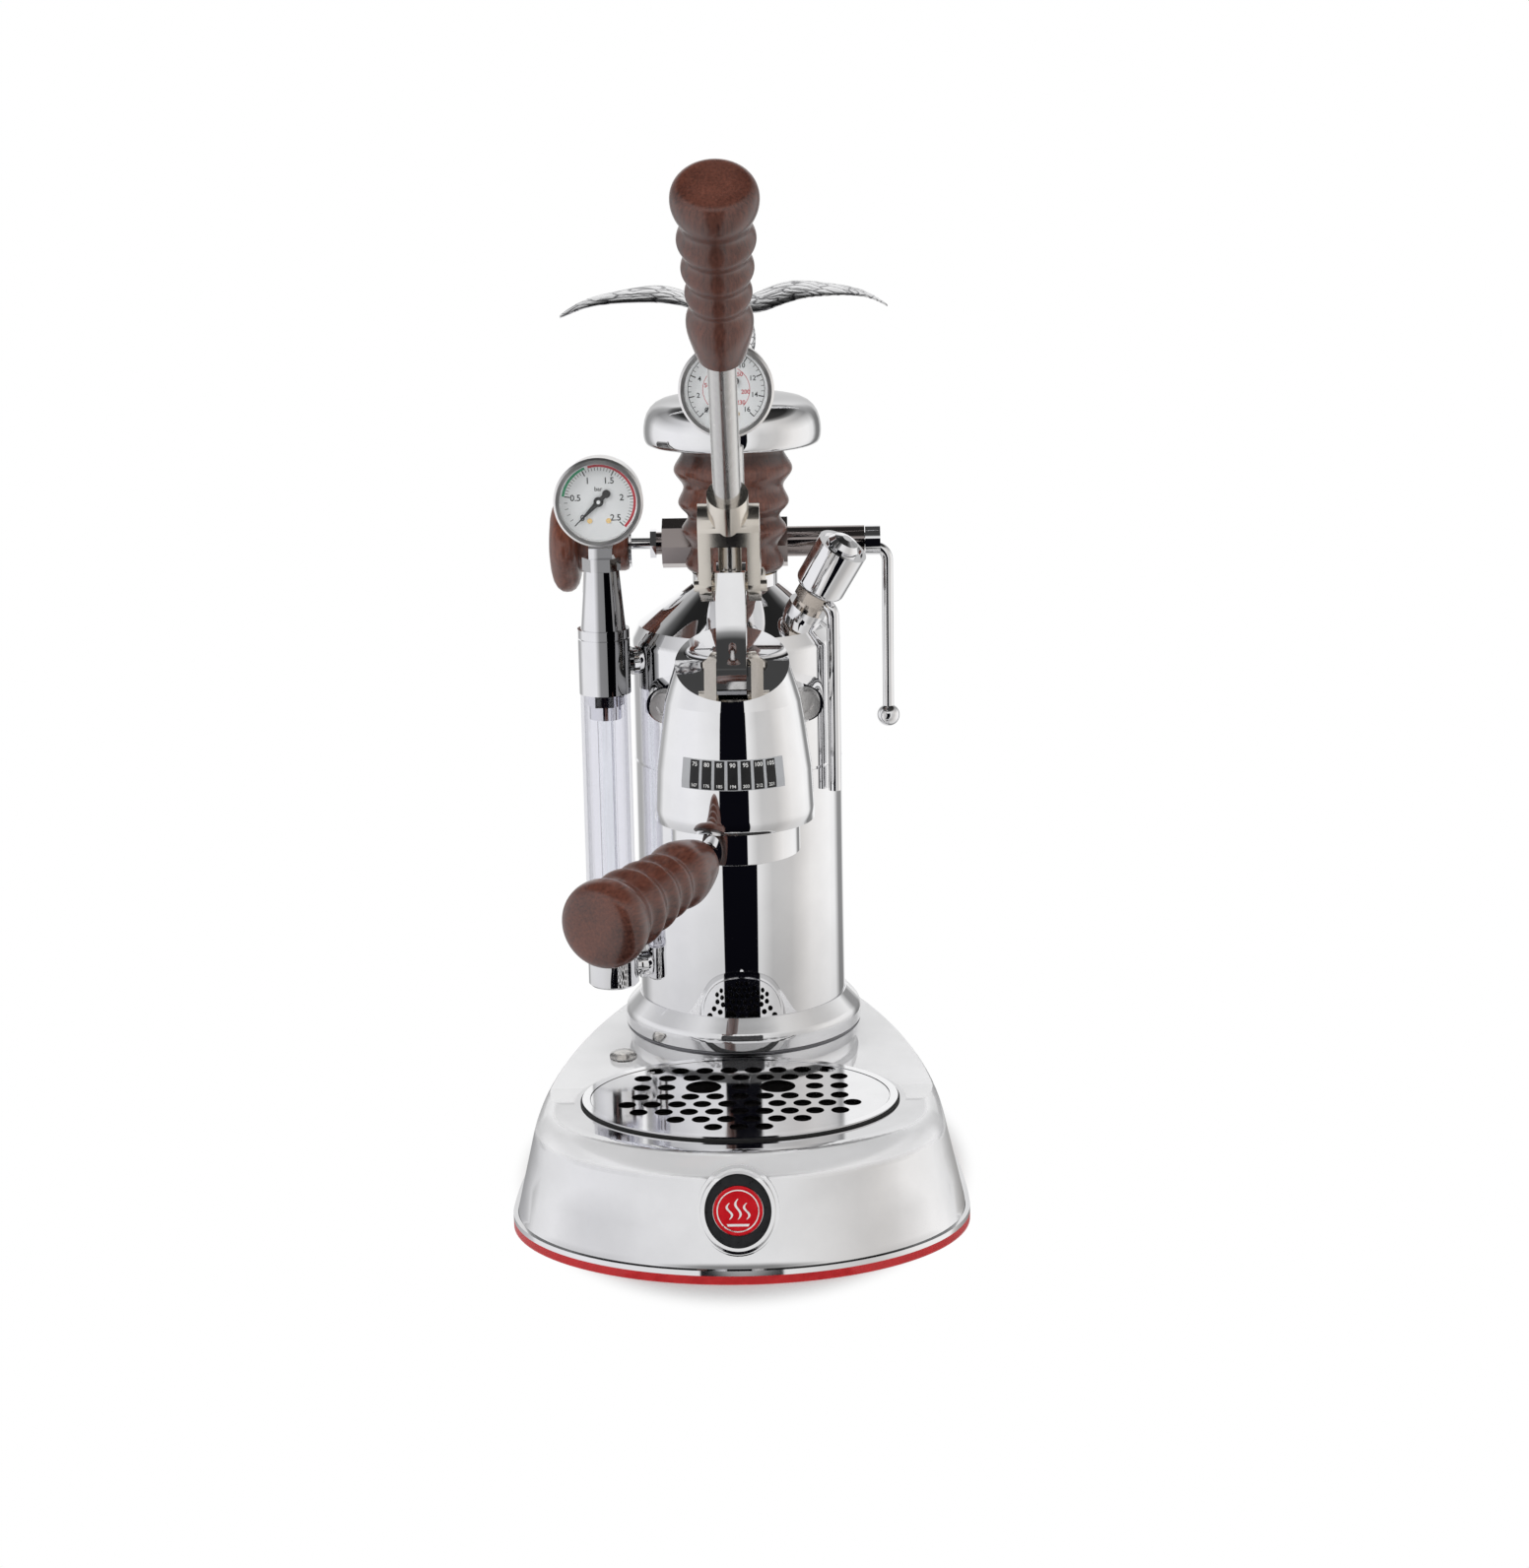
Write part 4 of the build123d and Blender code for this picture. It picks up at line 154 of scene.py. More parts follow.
class Nodes:
    """A short way to write a material's node tree."""

    def __init__(self, name):
        self.material = bpy.data.materials.new(name)
        self.material.use_nodes = True
        self.tree = self.material.node_tree
        self.shader = self.tree.nodes["Principled BSDF"]

    def add(self, kind, **values):
        """A node with its settings and the values of its unlinked inputs."""
        node = self.tree.nodes.new(kind)
        for key, value in values.items():
            if hasattr(node, key):
                setattr(node, key, value)
            else:
                node.inputs[key.replace("_", " ")].default_value = value
        return node

    def link(self, source, target):
        """Lead an output to an input."""
        self.tree.links.new(source, target)

    def set(self, **values):
        """Constant values of the shader's own sockets."""
        for key, value in values.items():
            self.shader.inputs[key.replace("_", " ")].default_value = value

    def feed(self, name, source):
        """Link a value to one of the shader's own sockets."""
        self.link(source, self.shader.inputs[name])

    def surface(self, source):
        """Put another shader than the principled one on the surface."""
        self.link(source, self.tree.nodes["Material Output"].inputs["Surface"])

    def join(self, kind, first, second, **values):
        """A node of two linked inputs, such as a sum or a product."""
        node = self.add(kind, **values)
        self.link(first, node.inputs[0])
        self.link(second, node.inputs[1])
        return node.outputs[0]

    def mix(self, factor, first, second):
        """A blend of two shaders."""
        node = self.add("ShaderNodeMixShader")
        for index, source in enumerate((factor, first, second)):
            self.link(source, node.inputs[index])
        return node.outputs[0]

    def place(self):
        """X, Y and Z of the surface in the machine's frame."""
        parts = self.add("ShaderNodeSeparateXYZ")
        self.link(self.add("ShaderNodeTexCoord").outputs["Object"], parts.inputs[0])
        return parts.outputs

    def coordinates(self, scale=(1, 1, 1), turn=(0, 0, 0)):
        """Object coordinates, turned first and then stretched."""
        mapping = self.add("ShaderNodeMapping", Rotation=turn)
        self.link(self.add("ShaderNodeTexCoord").outputs["Object"], mapping.inputs["Vector"])
        scaled = self.add("ShaderNodeVectorMath", operation="MULTIPLY")
        self.link(mapping.outputs["Vector"], scaled.inputs[0])
        scaled.inputs[1].default_value = scale
        return scaled.outputs[0]

    def noise(self, vector, scale, detail=4.0, rough=0.55):
        """A cloudy value between 0 and 1."""
        node = self.add("ShaderNodeTexNoise", Scale=scale, Detail=detail, Roughness=rough)
        self.link(vector, node.inputs["Vector"])
        return node.outputs["Fac"]

    def ramp(self, factor, stops):
        """A colour read from a value by its stops."""
        node = self.add("ShaderNodeValToRGB")
        band = node.color_ramp.elements
        while len(band) < len(stops):
            band.new(0.5)
        for element, (place, colour) in zip(band, stops):
            element.position = place
            element.color = (*colour, 1)
        self.link(factor, node.inputs["Fac"])
        return node.outputs["Color"]

    def mottled(self, mottle, colour, dark_share, start=0.3, end=0.7):
        """A colour that is darker where a noise is low."""
        dark = tuple(dark_share * part for part in colour)
        return self.ramp(mottle, [(start, dark), (end, colour)])

    def spread(self, factor, low, high, start=0.0, end=1.0):
        """Read a value from start to end as one from low to high."""
        node = self.add("ShaderNodeMapRange", From_Min=start, From_Max=end,
                        To_Min=low, To_Max=high)
        self.link(factor, node.inputs["Value"])
        return node.outputs["Result"]

    def lean(self, zones):
        """Lean the normals of flat fronts, zone by zone in height, as polishing rounds them."""
        place = self.place()
        total = self.add("ShaderNodeNewGeometry").outputs["Normal"]
        for half_width, side, rise, start, end in zones:
            amount = self.add("ShaderNodeCombineXYZ", Z=rise)
            self.link(self.spread(place["X"], -side, side, -half_width, half_width),
                      amount.inputs["X"])
            scaled = self.add("ShaderNodeVectorMath", operation="SCALE")
            self.link(amount.outputs[0], scaled.inputs[0])
            self.link(self.spread(place["Z"], 0.0, 1.0, start, end), scaled.inputs["Scale"])
            total = self.join("ShaderNodeVectorMath", total, scaled.outputs[0], operation="ADD")
        final = self.add("ShaderNodeVectorMath", operation="NORMALIZE")
        self.link(total, final.inputs[0])
        self.feed("Normal", final.outputs[0])

    def shade(self, tone, start, end, depth):
        """Darken a colour from one place across the machine to another, as a painted shade."""
        mix = self.add("ShaderNodeMix", data_type="RGBA", blend_type="MULTIPLY")
        self.link(self.spread(self.place()["X"], 0.0, 1.0, start, end), mix.inputs["Factor"])
        self.link(tone, mix.inputs["A"])
        mix.inputs["B"].default_value = (depth, depth, depth, 1)
        return mix.outputs["Result"]

    def soften(self, low, high, metallic):
        """Let a rounded zone between two heights scatter light as well as mirror it."""
        low_fade = 2 * mm
        high_fade = 0.5 * mm
        height = self.place()["Z"]
        both = self.join("ShaderNodeMath", self.spread(height, 0.0, 1.0, low - low_fade, low),
                         self.spread(height, 1.0, 0.0, high, high + high_fade),
                         operation="MULTIPLY")
        self.feed("Metallic", self.spread(both, 1.0, metallic))

    def bump(self, height, strength, distance):
        """Raise and sink the surface's normals by a value."""
        node = self.add("ShaderNodeBump", Strength=strength, Distance=distance)
        self.link(height, node.inputs["Height"])
        self.feed("Normal", node.outputs["Normal"])


def metal(name, colour, rough, scale=60.0, lift=0.02, grain=(1, 1, 1), bump=0.0,
          lean=(), soften=(), metallic=1.0, shade=(), edge_tint=1.0):
    """A metal whose roughness and tone vary a little along its grain, with a painted shade across
    it where one is given.
    """
    make = Nodes(name)
    make.set(Metallic=metallic, Specular_Tint=(edge_tint, edge_tint, edge_tint, 1))
    if lean:
        make.lean(lean)
    if soften:
        make.soften(*soften)
    mottle = make.noise(make.coordinates(grain), scale, detail=6.0)
    make.feed("Roughness", make.spread(mottle, rough - lift / 2, rough + lift, 0.3, 0.7))
    tone = make.mottled(mottle, colour, dark_share=0.94, start=0.35, end=0.65)
    # Painted shade: the colour darkens across the machine where a shade is given
    if shade:
        tone = make.shade(tone, *shade)
    make.feed("Base Color", tone)
    if bump:
        make.bump(mottle, bump, 0.2 * mm)
    return make.material


def plastic(name, colour, rough, speckle=220.0, bump=0.15, coat=0.0, dark_share=0.8):
    """A moulded plastic, paint or rubber with a fine skin."""
    make = Nodes(name)
    make.set(Coat_Weight=coat, Coat_Roughness=0.08)
    speckles = make.noise(make.coordinates(), speckle, detail=5.0)
    make.feed("Base Color", make.mottled(speckles, colour, dark_share))
    make.feed("Roughness", make.spread(speckles, rough - 0.05, rough + 0.08, 0.3, 0.7))
    make.bump(speckles, bump, 0.1 * mm)
    return make.material


def wood(name, axis, dark, light):
    """Turned wood: long fibres along the axis, broad bands, short dark pores, and painted shade
    in the hollows.
    """
    pore_tone = (0.25, 0.18, 0.15, 1)
    pore_depth = 0.55
    fibre_share = 0.62
    hollow_shade_reach = 9 * mm
    make = Nodes(name)
    turn = tuple(Vector(axis).rotation_difference(Vector(upright)).to_euler())
    bands = make.noise(make.coordinates((60, 60, 6), turn), 1.0, detail=3.0, rough=0.5)
    fibres = make.noise(make.coordinates((900, 900, 30), turn), 1.0, detail=6.0, rough=0.65)
    pores = make.noise(make.coordinates((2600, 2600, 130), turn), 1.0, detail=2.0, rough=0.5)
    blend = make.add("ShaderNodeMix", data_type="FLOAT")
    blend.inputs["Factor"].default_value = fibre_share
    make.link(bands, blend.inputs["A"])
    make.link(fibres, blend.inputs["B"])
    figure = blend.outputs["Result"]
    middle = tuple((low + high) / 2 for low, high in zip(dark, light))
    pored = make.add("ShaderNodeMix", data_type="RGBA", blend_type="MULTIPLY")
    pore_mask = make.spread(pores, 1.0, 0.0, 0.30, 0.40)
    make.link(make.spread(pore_mask, 0.0, pore_depth), pored.inputs["Factor"])
    make.link(make.ramp(figure, [(0.34, dark), (0.5, middle), (0.66, light)]), pored.inputs["A"])
    pored.inputs["B"].default_value = pore_tone
    # Painted shade: the colour darkens in the hollows between the beads, read from ambient
    # occlusion
    hollow_shade = make.add("ShaderNodeAmbientOcclusion", Distance=hollow_shade_reach, samples=8)
    shaded = make.add("ShaderNodeVectorMath", operation="SCALE")
    make.link(pored.outputs["Result"], shaded.inputs[0])
    make.link(make.spread(hollow_shade.outputs["AO"], 0.45, 1.05, 0.72, 0.96), shaded.inputs["Scale"])
    make.feed("Base Color", shaded.outputs[0])
    make.feed("Roughness", make.spread(fibres, 0.34, 0.50, 0.3, 0.7))
    make.set(Specular_IOR_Level=0.4, Coat_Weight=0.50, Coat_Roughness=0.20, Coat_IOR=1.8)
    make.bump(figure, 0.10, 0.3 * mm)
    return make.material


def glass(name, colour, rough=0.0):
    """Solid glass that lets light and shadow rays straight through."""
    make = Nodes(name)
    make.set(Transmission_Weight=1.0, IOR=1.45, Roughness=rough)
    haze = make.noise(make.coordinates(), 30.0, detail=2.0)
    make.feed("Base Color", make.mottled(haze, colour, clear_share))
    path = make.add("ShaderNodeLightPath").outputs
    indirect = make.join("ShaderNodeMath", path["Is Shadow Ray"], path["Is Diffuse Ray"],
                         operation="MAXIMUM")
    through = make.add("ShaderNodeBsdfTransparent")
    make.surface(make.mix(indirect, make.shader.outputs[0], through.outputs[0]))
    return make.material


def thin_glass(name, colour):
    """A clear tube that tints what is behind it and mirrors more towards its edges."""
    make = Nodes(name)
    through = make.add("ShaderNodeBsdfTransparent")
    haze = make.noise(make.coordinates((40, 40, 4)), 1.0, detail=2.0)
    make.link(make.mottled(haze, colour, clear_share), through.inputs["Color"])
    mirror = make.add("ShaderNodeBsdfGlossy", Roughness=0.02)
    edge = make.add("ShaderNodeLayerWeight", Blend=0.25)
    make.surface(make.mix(make.spread(edge.outputs["Fresnel"], 0.02, 0.30),
                          through.outputs[0], mirror.outputs[0]))
    return make.material


def tray_metal(name):
    """Chrome at the tray's rim, dark inside it, parted by height."""
    inside = (0.035, 0.032, 0.032)
    outside = (0.90, 0.90, 0.91)
    make = Nodes(name)
    rim = make.spread(make.place()["Z"], 0.0, 1.0, tray_rim_start, tray_rim_end)
    make.feed("Base Color", make.ramp(rim, [(0.0, inside), (1.0, outside)]))
    make.feed("Metallic", make.spread(rim, 0.30, 1.0))
    make.feed("Roughness", make.spread(rim, 0.45, 0.08))
    return make.material


def feather_metal(name):
    """Cast and chromed metal with the marks of overlapping feathers, and painted shade in the
    lines between them.
    """
    feather_groove_shade = (0.12, 0.12, 0.13)
    feather = (0.84, 0.84, 0.85)
    feather_scales = (60, 170, 340)
    feather_turn = math.radians(18)
    bend_depth = (1.2, 1.2, 1.2)
    make = Nodes(name)
    make.set(Metallic=1.0, Roughness=0.20)
    bend = make.noise(make.coordinates((90, 90, 90)), 1.0, detail=3.0)
    shifted = make.add("ShaderNodeVectorMath", operation="MULTIPLY_ADD")
    make.link(bend, shifted.inputs[0])
    shifted.inputs[1].default_value = bend_depth
    make.link(make.coordinates(feather_scales, (0, 0, feather_turn)), shifted.inputs[2])
    scales = make.add("ShaderNodeTexVoronoi", Scale=1.0, feature="DISTANCE_TO_EDGE")
    make.link(shifted.outputs[0], scales.inputs["Vector"])
    edge = scales.outputs["Distance"]
    # The dark lines between the feathers are painted shade; the bump gives them their relief
    make.feed("Base Color", make.ramp(edge, [(0.015, feather_groove_shade), (0.09, feather)]))
    make.bump(edge, 0.55, 0.8 * mm)
    return make.material


# Normals' leans: half width, lean to the sides, lean up, and the heights from none to full
everywhere = (0.0, 1 * mm)
base_leans = (
    (100 * mm, 0.26, 0.25, face_round_end, face_round_start),
    (100 * mm, 0.0, 0.14, 34 * mm, 22 * mm),
    (100 * mm, 0.0, 0.10, 9 * mm, 7 * mm),
)
group_leans = (
    (9 * mm, 0.22, 0.42, 244 * mm, 249 * mm),
    (1 * mm, 0.0, -0.75, 181.5 * mm, 176 * mm),
)
ring_leans = ((1 * mm, 0.0, -0.22, *everywhere),)
head_leans = ((0.3 * mm, 0.30, 0.0, *everywhere),)
fork_leans = ((16 * mm, 0.34, 0.12, *everywhere),)

# The column head's painted shade, darker across its right side: where across the machine it
# starts and ends, and its depth
head_painted_shade = (-62.5 * mm, -60.5 * mm, 0.30)

# Metals: colour, roughness, how fine the grain is and how much the roughness varies
bright = (0.93, 0.93, 0.94)
chrome = metal("chrome_plate", bright, 0.018, 40.0, 0.012)
cap_chrome = metal("cap_plate", bright, 0.018, 40.0, 0.012, edge_tint=0.6)
group_chrome = metal("group_plate", bright, 0.018, 40.0, 0.012, lean=group_leans)
base_chrome = metal("base_plate_chrome", (0.90, 0.90, 0.91), 0.05, 40.0, lean=base_leans,
                    soften=(face_round_start, deck_top, 0.35), edge_tint=0.6)
ring_chrome = metal("ring_chrome", (0.86, 0.86, 0.87), 0.04, 40.0, lean=ring_leans,
                    metallic=0.92)
head_chrome = metal("head_chrome", (0.88, 0.88, 0.90), 0.03, 40.0, lean=head_leans,
                    shade=head_painted_shade)
# A near-black metal for the painted shade line under the foot ring's bead
groove_shade_metal = metal("groove_shade_metal", (0.16, 0.16, 0.17), 0.22, lift=0.03)
# Chrome with its colour darkened to a brownish grey: a painted dark brown reflection on the steam
# valve body
painted_dark_chrome = metal("painted_dark_chrome", (0.34, 0.30, 0.29), 0.10, lift=0.03)
warm_nickel = metal("warm_nickel", (0.66, 0.60, 0.54), 0.16, 90.0, 0.05)
steel = metal("steel_bar", (0.72, 0.71, 0.70), 0.20, 1.0, 0.08, (400, 400, 6), 0.02)
nickel = metal("fork_nickel", (0.78, 0.73, 0.66), 0.20, 90.0, 0.06, lean=fork_leans)
grid_metal = metal("grid_steel", (0.88, 0.88, 0.89), 0.06, 50.0, 0.03)
brass = metal("brass_turned", (0.78, 0.56, 0.27), 0.18, 120.0, 0.06)
satin = metal("satin_chrome", (0.93, 0.92, 0.91), 0.34, 150.0, 0.05)
bird_metal = feather_metal("bird_chrome")
tray_finish = tray_metal("tray")

# Paints, plastics, rubber and prints
red_plate = plastic("red_plate", (0.62, 0.022, 0.026), 0.32)
red_badge = plastic("badge_enamel", (0.62, 0.008, 0.016), 0.16, coat=0.6, bump=0.03)
black_plastic = plastic("black_plastic", (0.020, 0.020, 0.022), 0.38)
badge_black = plastic("badge_black", (0.024, 0.025, 0.027), 0.30, speckle=400.0, bump=0.2)
rubber = plastic("black_rubber", (0.012, 0.012, 0.012), 0.6, speckle=320.0, bump=0.3)
dial_white = plastic("dial_white", (0.86, 0.87, 0.88), 0.45, speckle=90.0, bump=0.02,
                     dark_share=0.97)
strip_grey = plastic("strip_grey", (0.45, 0.46, 0.48), 0.35, speckle=160.0, bump=0.03,
                     coat=0.3, dark_share=0.95)
print_skin = {"speckle": 300.0, "bump": 0.02}
ink = plastic("ink_black", (0.010, 0.010, 0.011), 0.5, **print_skin)
ink_red = plastic("ink_red", (0.60, 0.02, 0.04), 0.5, **print_skin)
ink_green = plastic("ink_green", (0.02, 0.36, 0.16), 0.5, **print_skin)
ink_white = plastic("ink_white", (0.80, 0.80, 0.79), 0.4, dark_share=0.96, **print_skin)

# Glass and wood
lamp_glass = glass("lamp_lens", (0.97, 0.95, 0.92), 0.03)
clear = glass("clear_glass", (0.99, 1.0, 1.0))
guard_clear = thin_glass("clear_guard", (0.955, 0.955, 0.975))
grip_tones = ((0.036, 0.0090, 0.0050), (0.150, 0.043, 0.024))
neck_tones = ((0.055, 0.0130, 0.007), (0.210, 0.060, 0.031))
lever_wood = wood("lever_wood", lever_axis, *grip_tones)
holder_wood = wood("portafilter_wood", holder_axis, *grip_tones)
neck_wood = wood("neck_wood", upright, *neck_tones)
side_wood = wood("steam_knob_wood", knob_axis, *neck_tones)

# What each node is made of; the rest is chrome
finishes = (
    (base_chrome, "base_shell", "badge_bezel"),
    (ring_chrome, "boiler_ring"),
    (group_chrome, "group_body"),
    (head_chrome, "column_head"),
    (painted_dark_chrome, "steam_valve_body"),
    (warm_nickel, "relief_body"),
    (nickel, "lever_fork", "fulcrum_pin", "piston_pin"),
    (steel, "heating_element", "relief_spring", "relief_ball", "shower_screen", "piston_rod",
     "lever_rod", "portafilter_basket"),
    (satin, "boiler_gauge_case", "piston_gauge_case", "group_bolts"),
    (brass, "cap_plug", "piston"),
    (grid_metal, "drip_grid"),
    (tray_finish, "drip_tray"),
    (bird_metal, "bird_finial"),
    (red_plate, "base_plate"),
    (red_badge, "badge_disc"),
    (rubber, "rubber_feet", "tray_gasket", "portafilter_gasket", "piston_seals"),
    (black_plastic, "switch_housing", "power_rocker", "cord_gland", "piston_sleeve"),
    (dial_white, "boiler_gauge_dial", "piston_gauge_dial"),
    (ink, "boiler_gauge_needle", "piston_gauge_needle"),
    (strip_grey, "temperature_strip"),
    (lamp_glass, "pilot_lamp"),
    (clear, "sight_glass", "boiler_gauge_lens", "piston_gauge_lens"),
    (guard_clear, "glass_guard"),
    (lever_wood, "lever_handle"),
    (holder_wood, "portafilter_handle"),
    (neck_wood, "wood_neck"),
)
finish_of = {name: material for material, *names in finishes for name in names}
for name, node in nodes.items():
    node.data.materials.clear()
    node.data.materials.append(finish_of.get(name, chrome))


def round_edges(name, width):
    """Round a node's sharp edges, as casting and polishing leave them."""
    weld = nodes[name].modifiers.new("weld", "WELD")
    weld.merge_threshold = 0.01 * mm
    edge = nodes[name].modifiers.new("edge", "BEVEL")
    edge.width = width
    edge.segments = 3
    edge.limit_method = "ANGLE"
    edge.angle_limit = math.radians(50)
    edge.harden_normals = True


fork_rounding = 0.9 * mm
round_edges("lever_fork", fork_rounding)


def keep(mesh, name, material, body):
    """Link a finished piece, give it its material and let it ride on its body."""
    piece = bpy.data.objects.new(name, mesh)
    scene.collection.objects.link(piece)
    mesh.materials.append(material)
    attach(piece, body)
    return piece


def solid(name, build, material, body):
    """Make a mesh piece from a function that fills a bmesh."""
    shape = bmesh.new()
    build(shape)
    bmesh.ops.recalc_face_normals(shape, faces=shape.faces)
    mesh = bpy.data.meshes.new(name)
    shape.to_mesh(mesh)
    shape.free()
    return keep(mesh, name, material, body)


def corners(box):
    """The low and high corner of a node's box, and its middle."""
    low, high = (Vector(corner) for corner in box)
    return low, high, (low + high) / 2


def polar(radius, degrees):
    """X and y of a point at an angle on a circle."""
    angle = math.radians(degrees)
    return radius * math.cos(angle), radius * math.sin(angle)


def circle(radius, steps, tall=None):
    """Points round a circle, or round an oval of another height."""
    turns = [math.tau * step / steps for step in range(steps)]
    return [(radius * math.cos(turn), (tall or radius) * math.sin(turn)) for turn in turns]


def between(table, place):
    """Straight-line reading of a table of (place, value) pairs."""
    for (start, low), (end, high) in zip(table, table[1:]):
        if start <= place <= end:
            return low + (high - low) * (place - start) / (end - start)
    return table[-1][1]


def weave(shape, loops, smooth=False):
    """Faces from each closed loop of corners to the next."""
    for first, second in zip(loops, loops[1:]):
        for index in range(len(first)):
            after = (index + 1) % len(first)
            face = shape.faces.new((first[index], first[after], second[after], second[index]))
            face.smooth = smooth


def loops_of(shape, rings):
    """Corners of a bmesh at rings of points."""
    return [[shape.verts.new(point) for point in ring] for ring in rings]


def slab(shape, outline, place, thickness):
    """A flat plate: its outline, put in place by a function of (x, y, z)."""
    loops = loops_of(shape, [[place(x, y, z) for x, y in outline] for z in (0, thickness)])
    weave(shape, loops)
    shape.faces.new(loops[0])
    shape.faces.new(loops[1][::-1])


def skin(shape, rings):
    """A smooth closed skin over rings of as many points each."""
    loops = loops_of(shape, rings)
    weave(shape, loops)
    shape.faces.new(loops[0])
    shape.faces.new(loops[-1][::-1])
    for face in shape.faces:
        face.smooth = True


def words(name, text, size, place, turn, material, body):
    """A small printed number or word as a mesh."""
    half_thickness = 0.02 * mm
    bold_share = 0.012
    curve = bpy.data.curves.new(name, "FONT")
    curve.body = text
    curve.size = size
    curve.align_x = "CENTER"
    curve.align_y = "CENTER"
    curve.extrude = half_thickness
    curve.offset = bold_share * size
    curve.resolution_u = 4
    source = bpy.data.objects.new(name + "_source", curve)
    scene.collection.objects.link(source)
    bpy.context.view_layer.update()
    mesh = bpy.data.meshes.new_from_object(source)
    bpy.data.objects.remove(source)
    mesh.transform(Matrix.Translation(place) @ turn)
    return keep(mesh, name, material, body)


def dial_centre(node):
    """The front of a gauge's dial, level with its printed face."""
    low, _, middle = corners(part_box(node))
    return Vector((middle.x, low.y + dial_spindle, middle.z))


def dial_prints(label, centre, body, marks, arcs, captions):
    """Ticks, coloured arcs and numbers printed on a gauge's dial."""

    def place(x, y, z):
        return centre + Vector((x, -z, y))

    def ticks(shape):
        for share, inner, outer, width in marks:
            along = Vector(polar(1, dial_start - share * dial_sweep))
            across = Vector((-along.y, along.x)) * width / 2
            outline = [along * inner - across, along * outer - across,
                       along * outer + across, along * inner + across]
            slab(shape, outline, place, print_height)

    solid(label + "_ticks", ticks, ink, body)
    for index, (start, end, inner, outer, material) in enumerate(arcs):

        def arc(shape):
            steps = 24
            turns = [dial_start - dial_sweep * (start + (end - start) * step / steps)
                     for step in range(steps + 1)]
            outline = [polar(outer, turn) for turn in turns]
            outline += [polar(inner, turn) for turn in reversed(turns)]
            slab(shape, outline, place, print_height)

        solid(f"{label}_arc_{index}", arc, material, body)
    for index, (text, size, x, y, material) in enumerate(captions):
        words(f"{label}_text_{index}", text, size, place(x, y, print_height), facing,
              material, body)


def dial_screws(label, centre, body, apart, drop):
    """Two small brass screws that hold the dial."""
    head_radius = 1.15 * mm
    head_height = 0.35 * mm
    boss_radius = 0.8 * mm
    boss_height = 0.15 * mm
    steps = 20
    for index, side in enumerate((-apart, apart)):

        def head(shape):
            spot = centre + Vector((side, 0, -drop))
            slab(shape, circle(head_radius, steps),
                 lambda x, y, z: spot + Vector((x, -z, y)), head_height)
            slab(shape, circle(boss_radius, steps),
                 lambda x, y, z: spot + Vector((x, -z - head_height, y)), boss_height)

        solid(f"{label}_screw_{index}", head, brass, body)


def scale_marks(count, per_number, inner, short, outer, wide, thin, left_out=()):
    """Long wide ticks at the numbers and short thin ones between them."""
    marks = []
    for step in range(count + 1):
        at_number = step % per_number == 0
        if step not in left_out:
            marks.append((step / count, inner if at_number else short, outer,
                          wide if at_number else thin))
    return marks


def numbers(texts, shares, radius, size, material):
    """Captions round a dial, at shares of its sweep."""
    captions = []
    for text, share in zip(texts, shares):
        x, y = polar(radius, dial_start - share * dial_sweep)
        captions.append((text, size, x, y, material))
    return captions


def boiler_dial():
    """0 to 2.5 bar, with a green and a red range."""
    centre = dial_centre("boiler_gauge_dial")
    arc_inner = 15.5 * mm
    arc_outer = 16.6 * mm
    number_radius = 10.4 * mm
    number_size = 4.0 * mm
    unit_size = 2.7 * mm
    unit_rise = 5.6 * mm
    screws_apart = 4.2 * mm
    screws_drop = 8.6 * mm
    marks = scale_marks(count=50, per_number=10, inner=12.9 * mm, short=13.9 * mm,
                        outer=15.4 * mm, wide=0.5 * mm, thin=0.22 * mm,
                        left_out=(1, 3, 5, 7, 9))
    arcs = [(0.20, 0.42, arc_inner, arc_outer, ink_green),
            (0.44, 1.0, arc_inner, arc_outer, ink_red)]
    texts = ("0", "0.5", "1", "1.5", "2", "2.5")
    shares = [index / 5 for index in range(len(texts))]
    captions = numbers(texts, shares, number_radius, number_size, ink)
    captions.append(("bar", unit_size, 0, unit_rise, ink))
    dial_prints("boiler_dial", centre, "stand", marks, arcs, captions)
    dial_screws("boiler_dial", centre, "stand", screws_apart, screws_drop)


def piston_dial():
    """0 to 16 bar in black, and a second scale in red inside it."""
    centre = dial_centre("piston_gauge_dial")
    full_scale = 16
    red_scale = 232
    outer_radius = 11.9 * mm
    outer_size = 2.9 * mm
    red_radius = 8.1 * mm
    red_size = 2.5 * mm
    unit_size = 2.2 * mm
    unit_side = -1.6 * mm
    unit_drop = -7.6 * mm
    screws_apart = 4.2 * mm
    screws_drop = 10.2 * mm
    marks = scale_marks(count=32, per_number=4, inner=13.6 * mm, short=14.6 * mm,
                        outer=15.9 * mm, wide=0.45 * mm, thin=0.22 * mm)
    values = range(0, full_scale + 1, 2)
    captions = numbers(map(str, values), [value / full_scale for value in values],
                       outer_radius, outer_size, ink)
    values = (50, 100, 150, 200, 230)
    captions += numbers(map(str, values), [value / red_scale for value in values],
                        red_radius, red_size, ink_red)
    captions.append(("bar", unit_size, unit_side, unit_drop, ink))
    arcs = [(0.0, 1.0, 9.7 * mm, 9.9 * mm, ink_red), (0.0, 1.0, 15.9 * mm, 16.1 * mm, ink)]
    dial_prints("piston_dial", centre, "plunger", marks, arcs, captions)
    dial_screws("piston_dial", centre, "plunger", screws_apart, screws_drop)


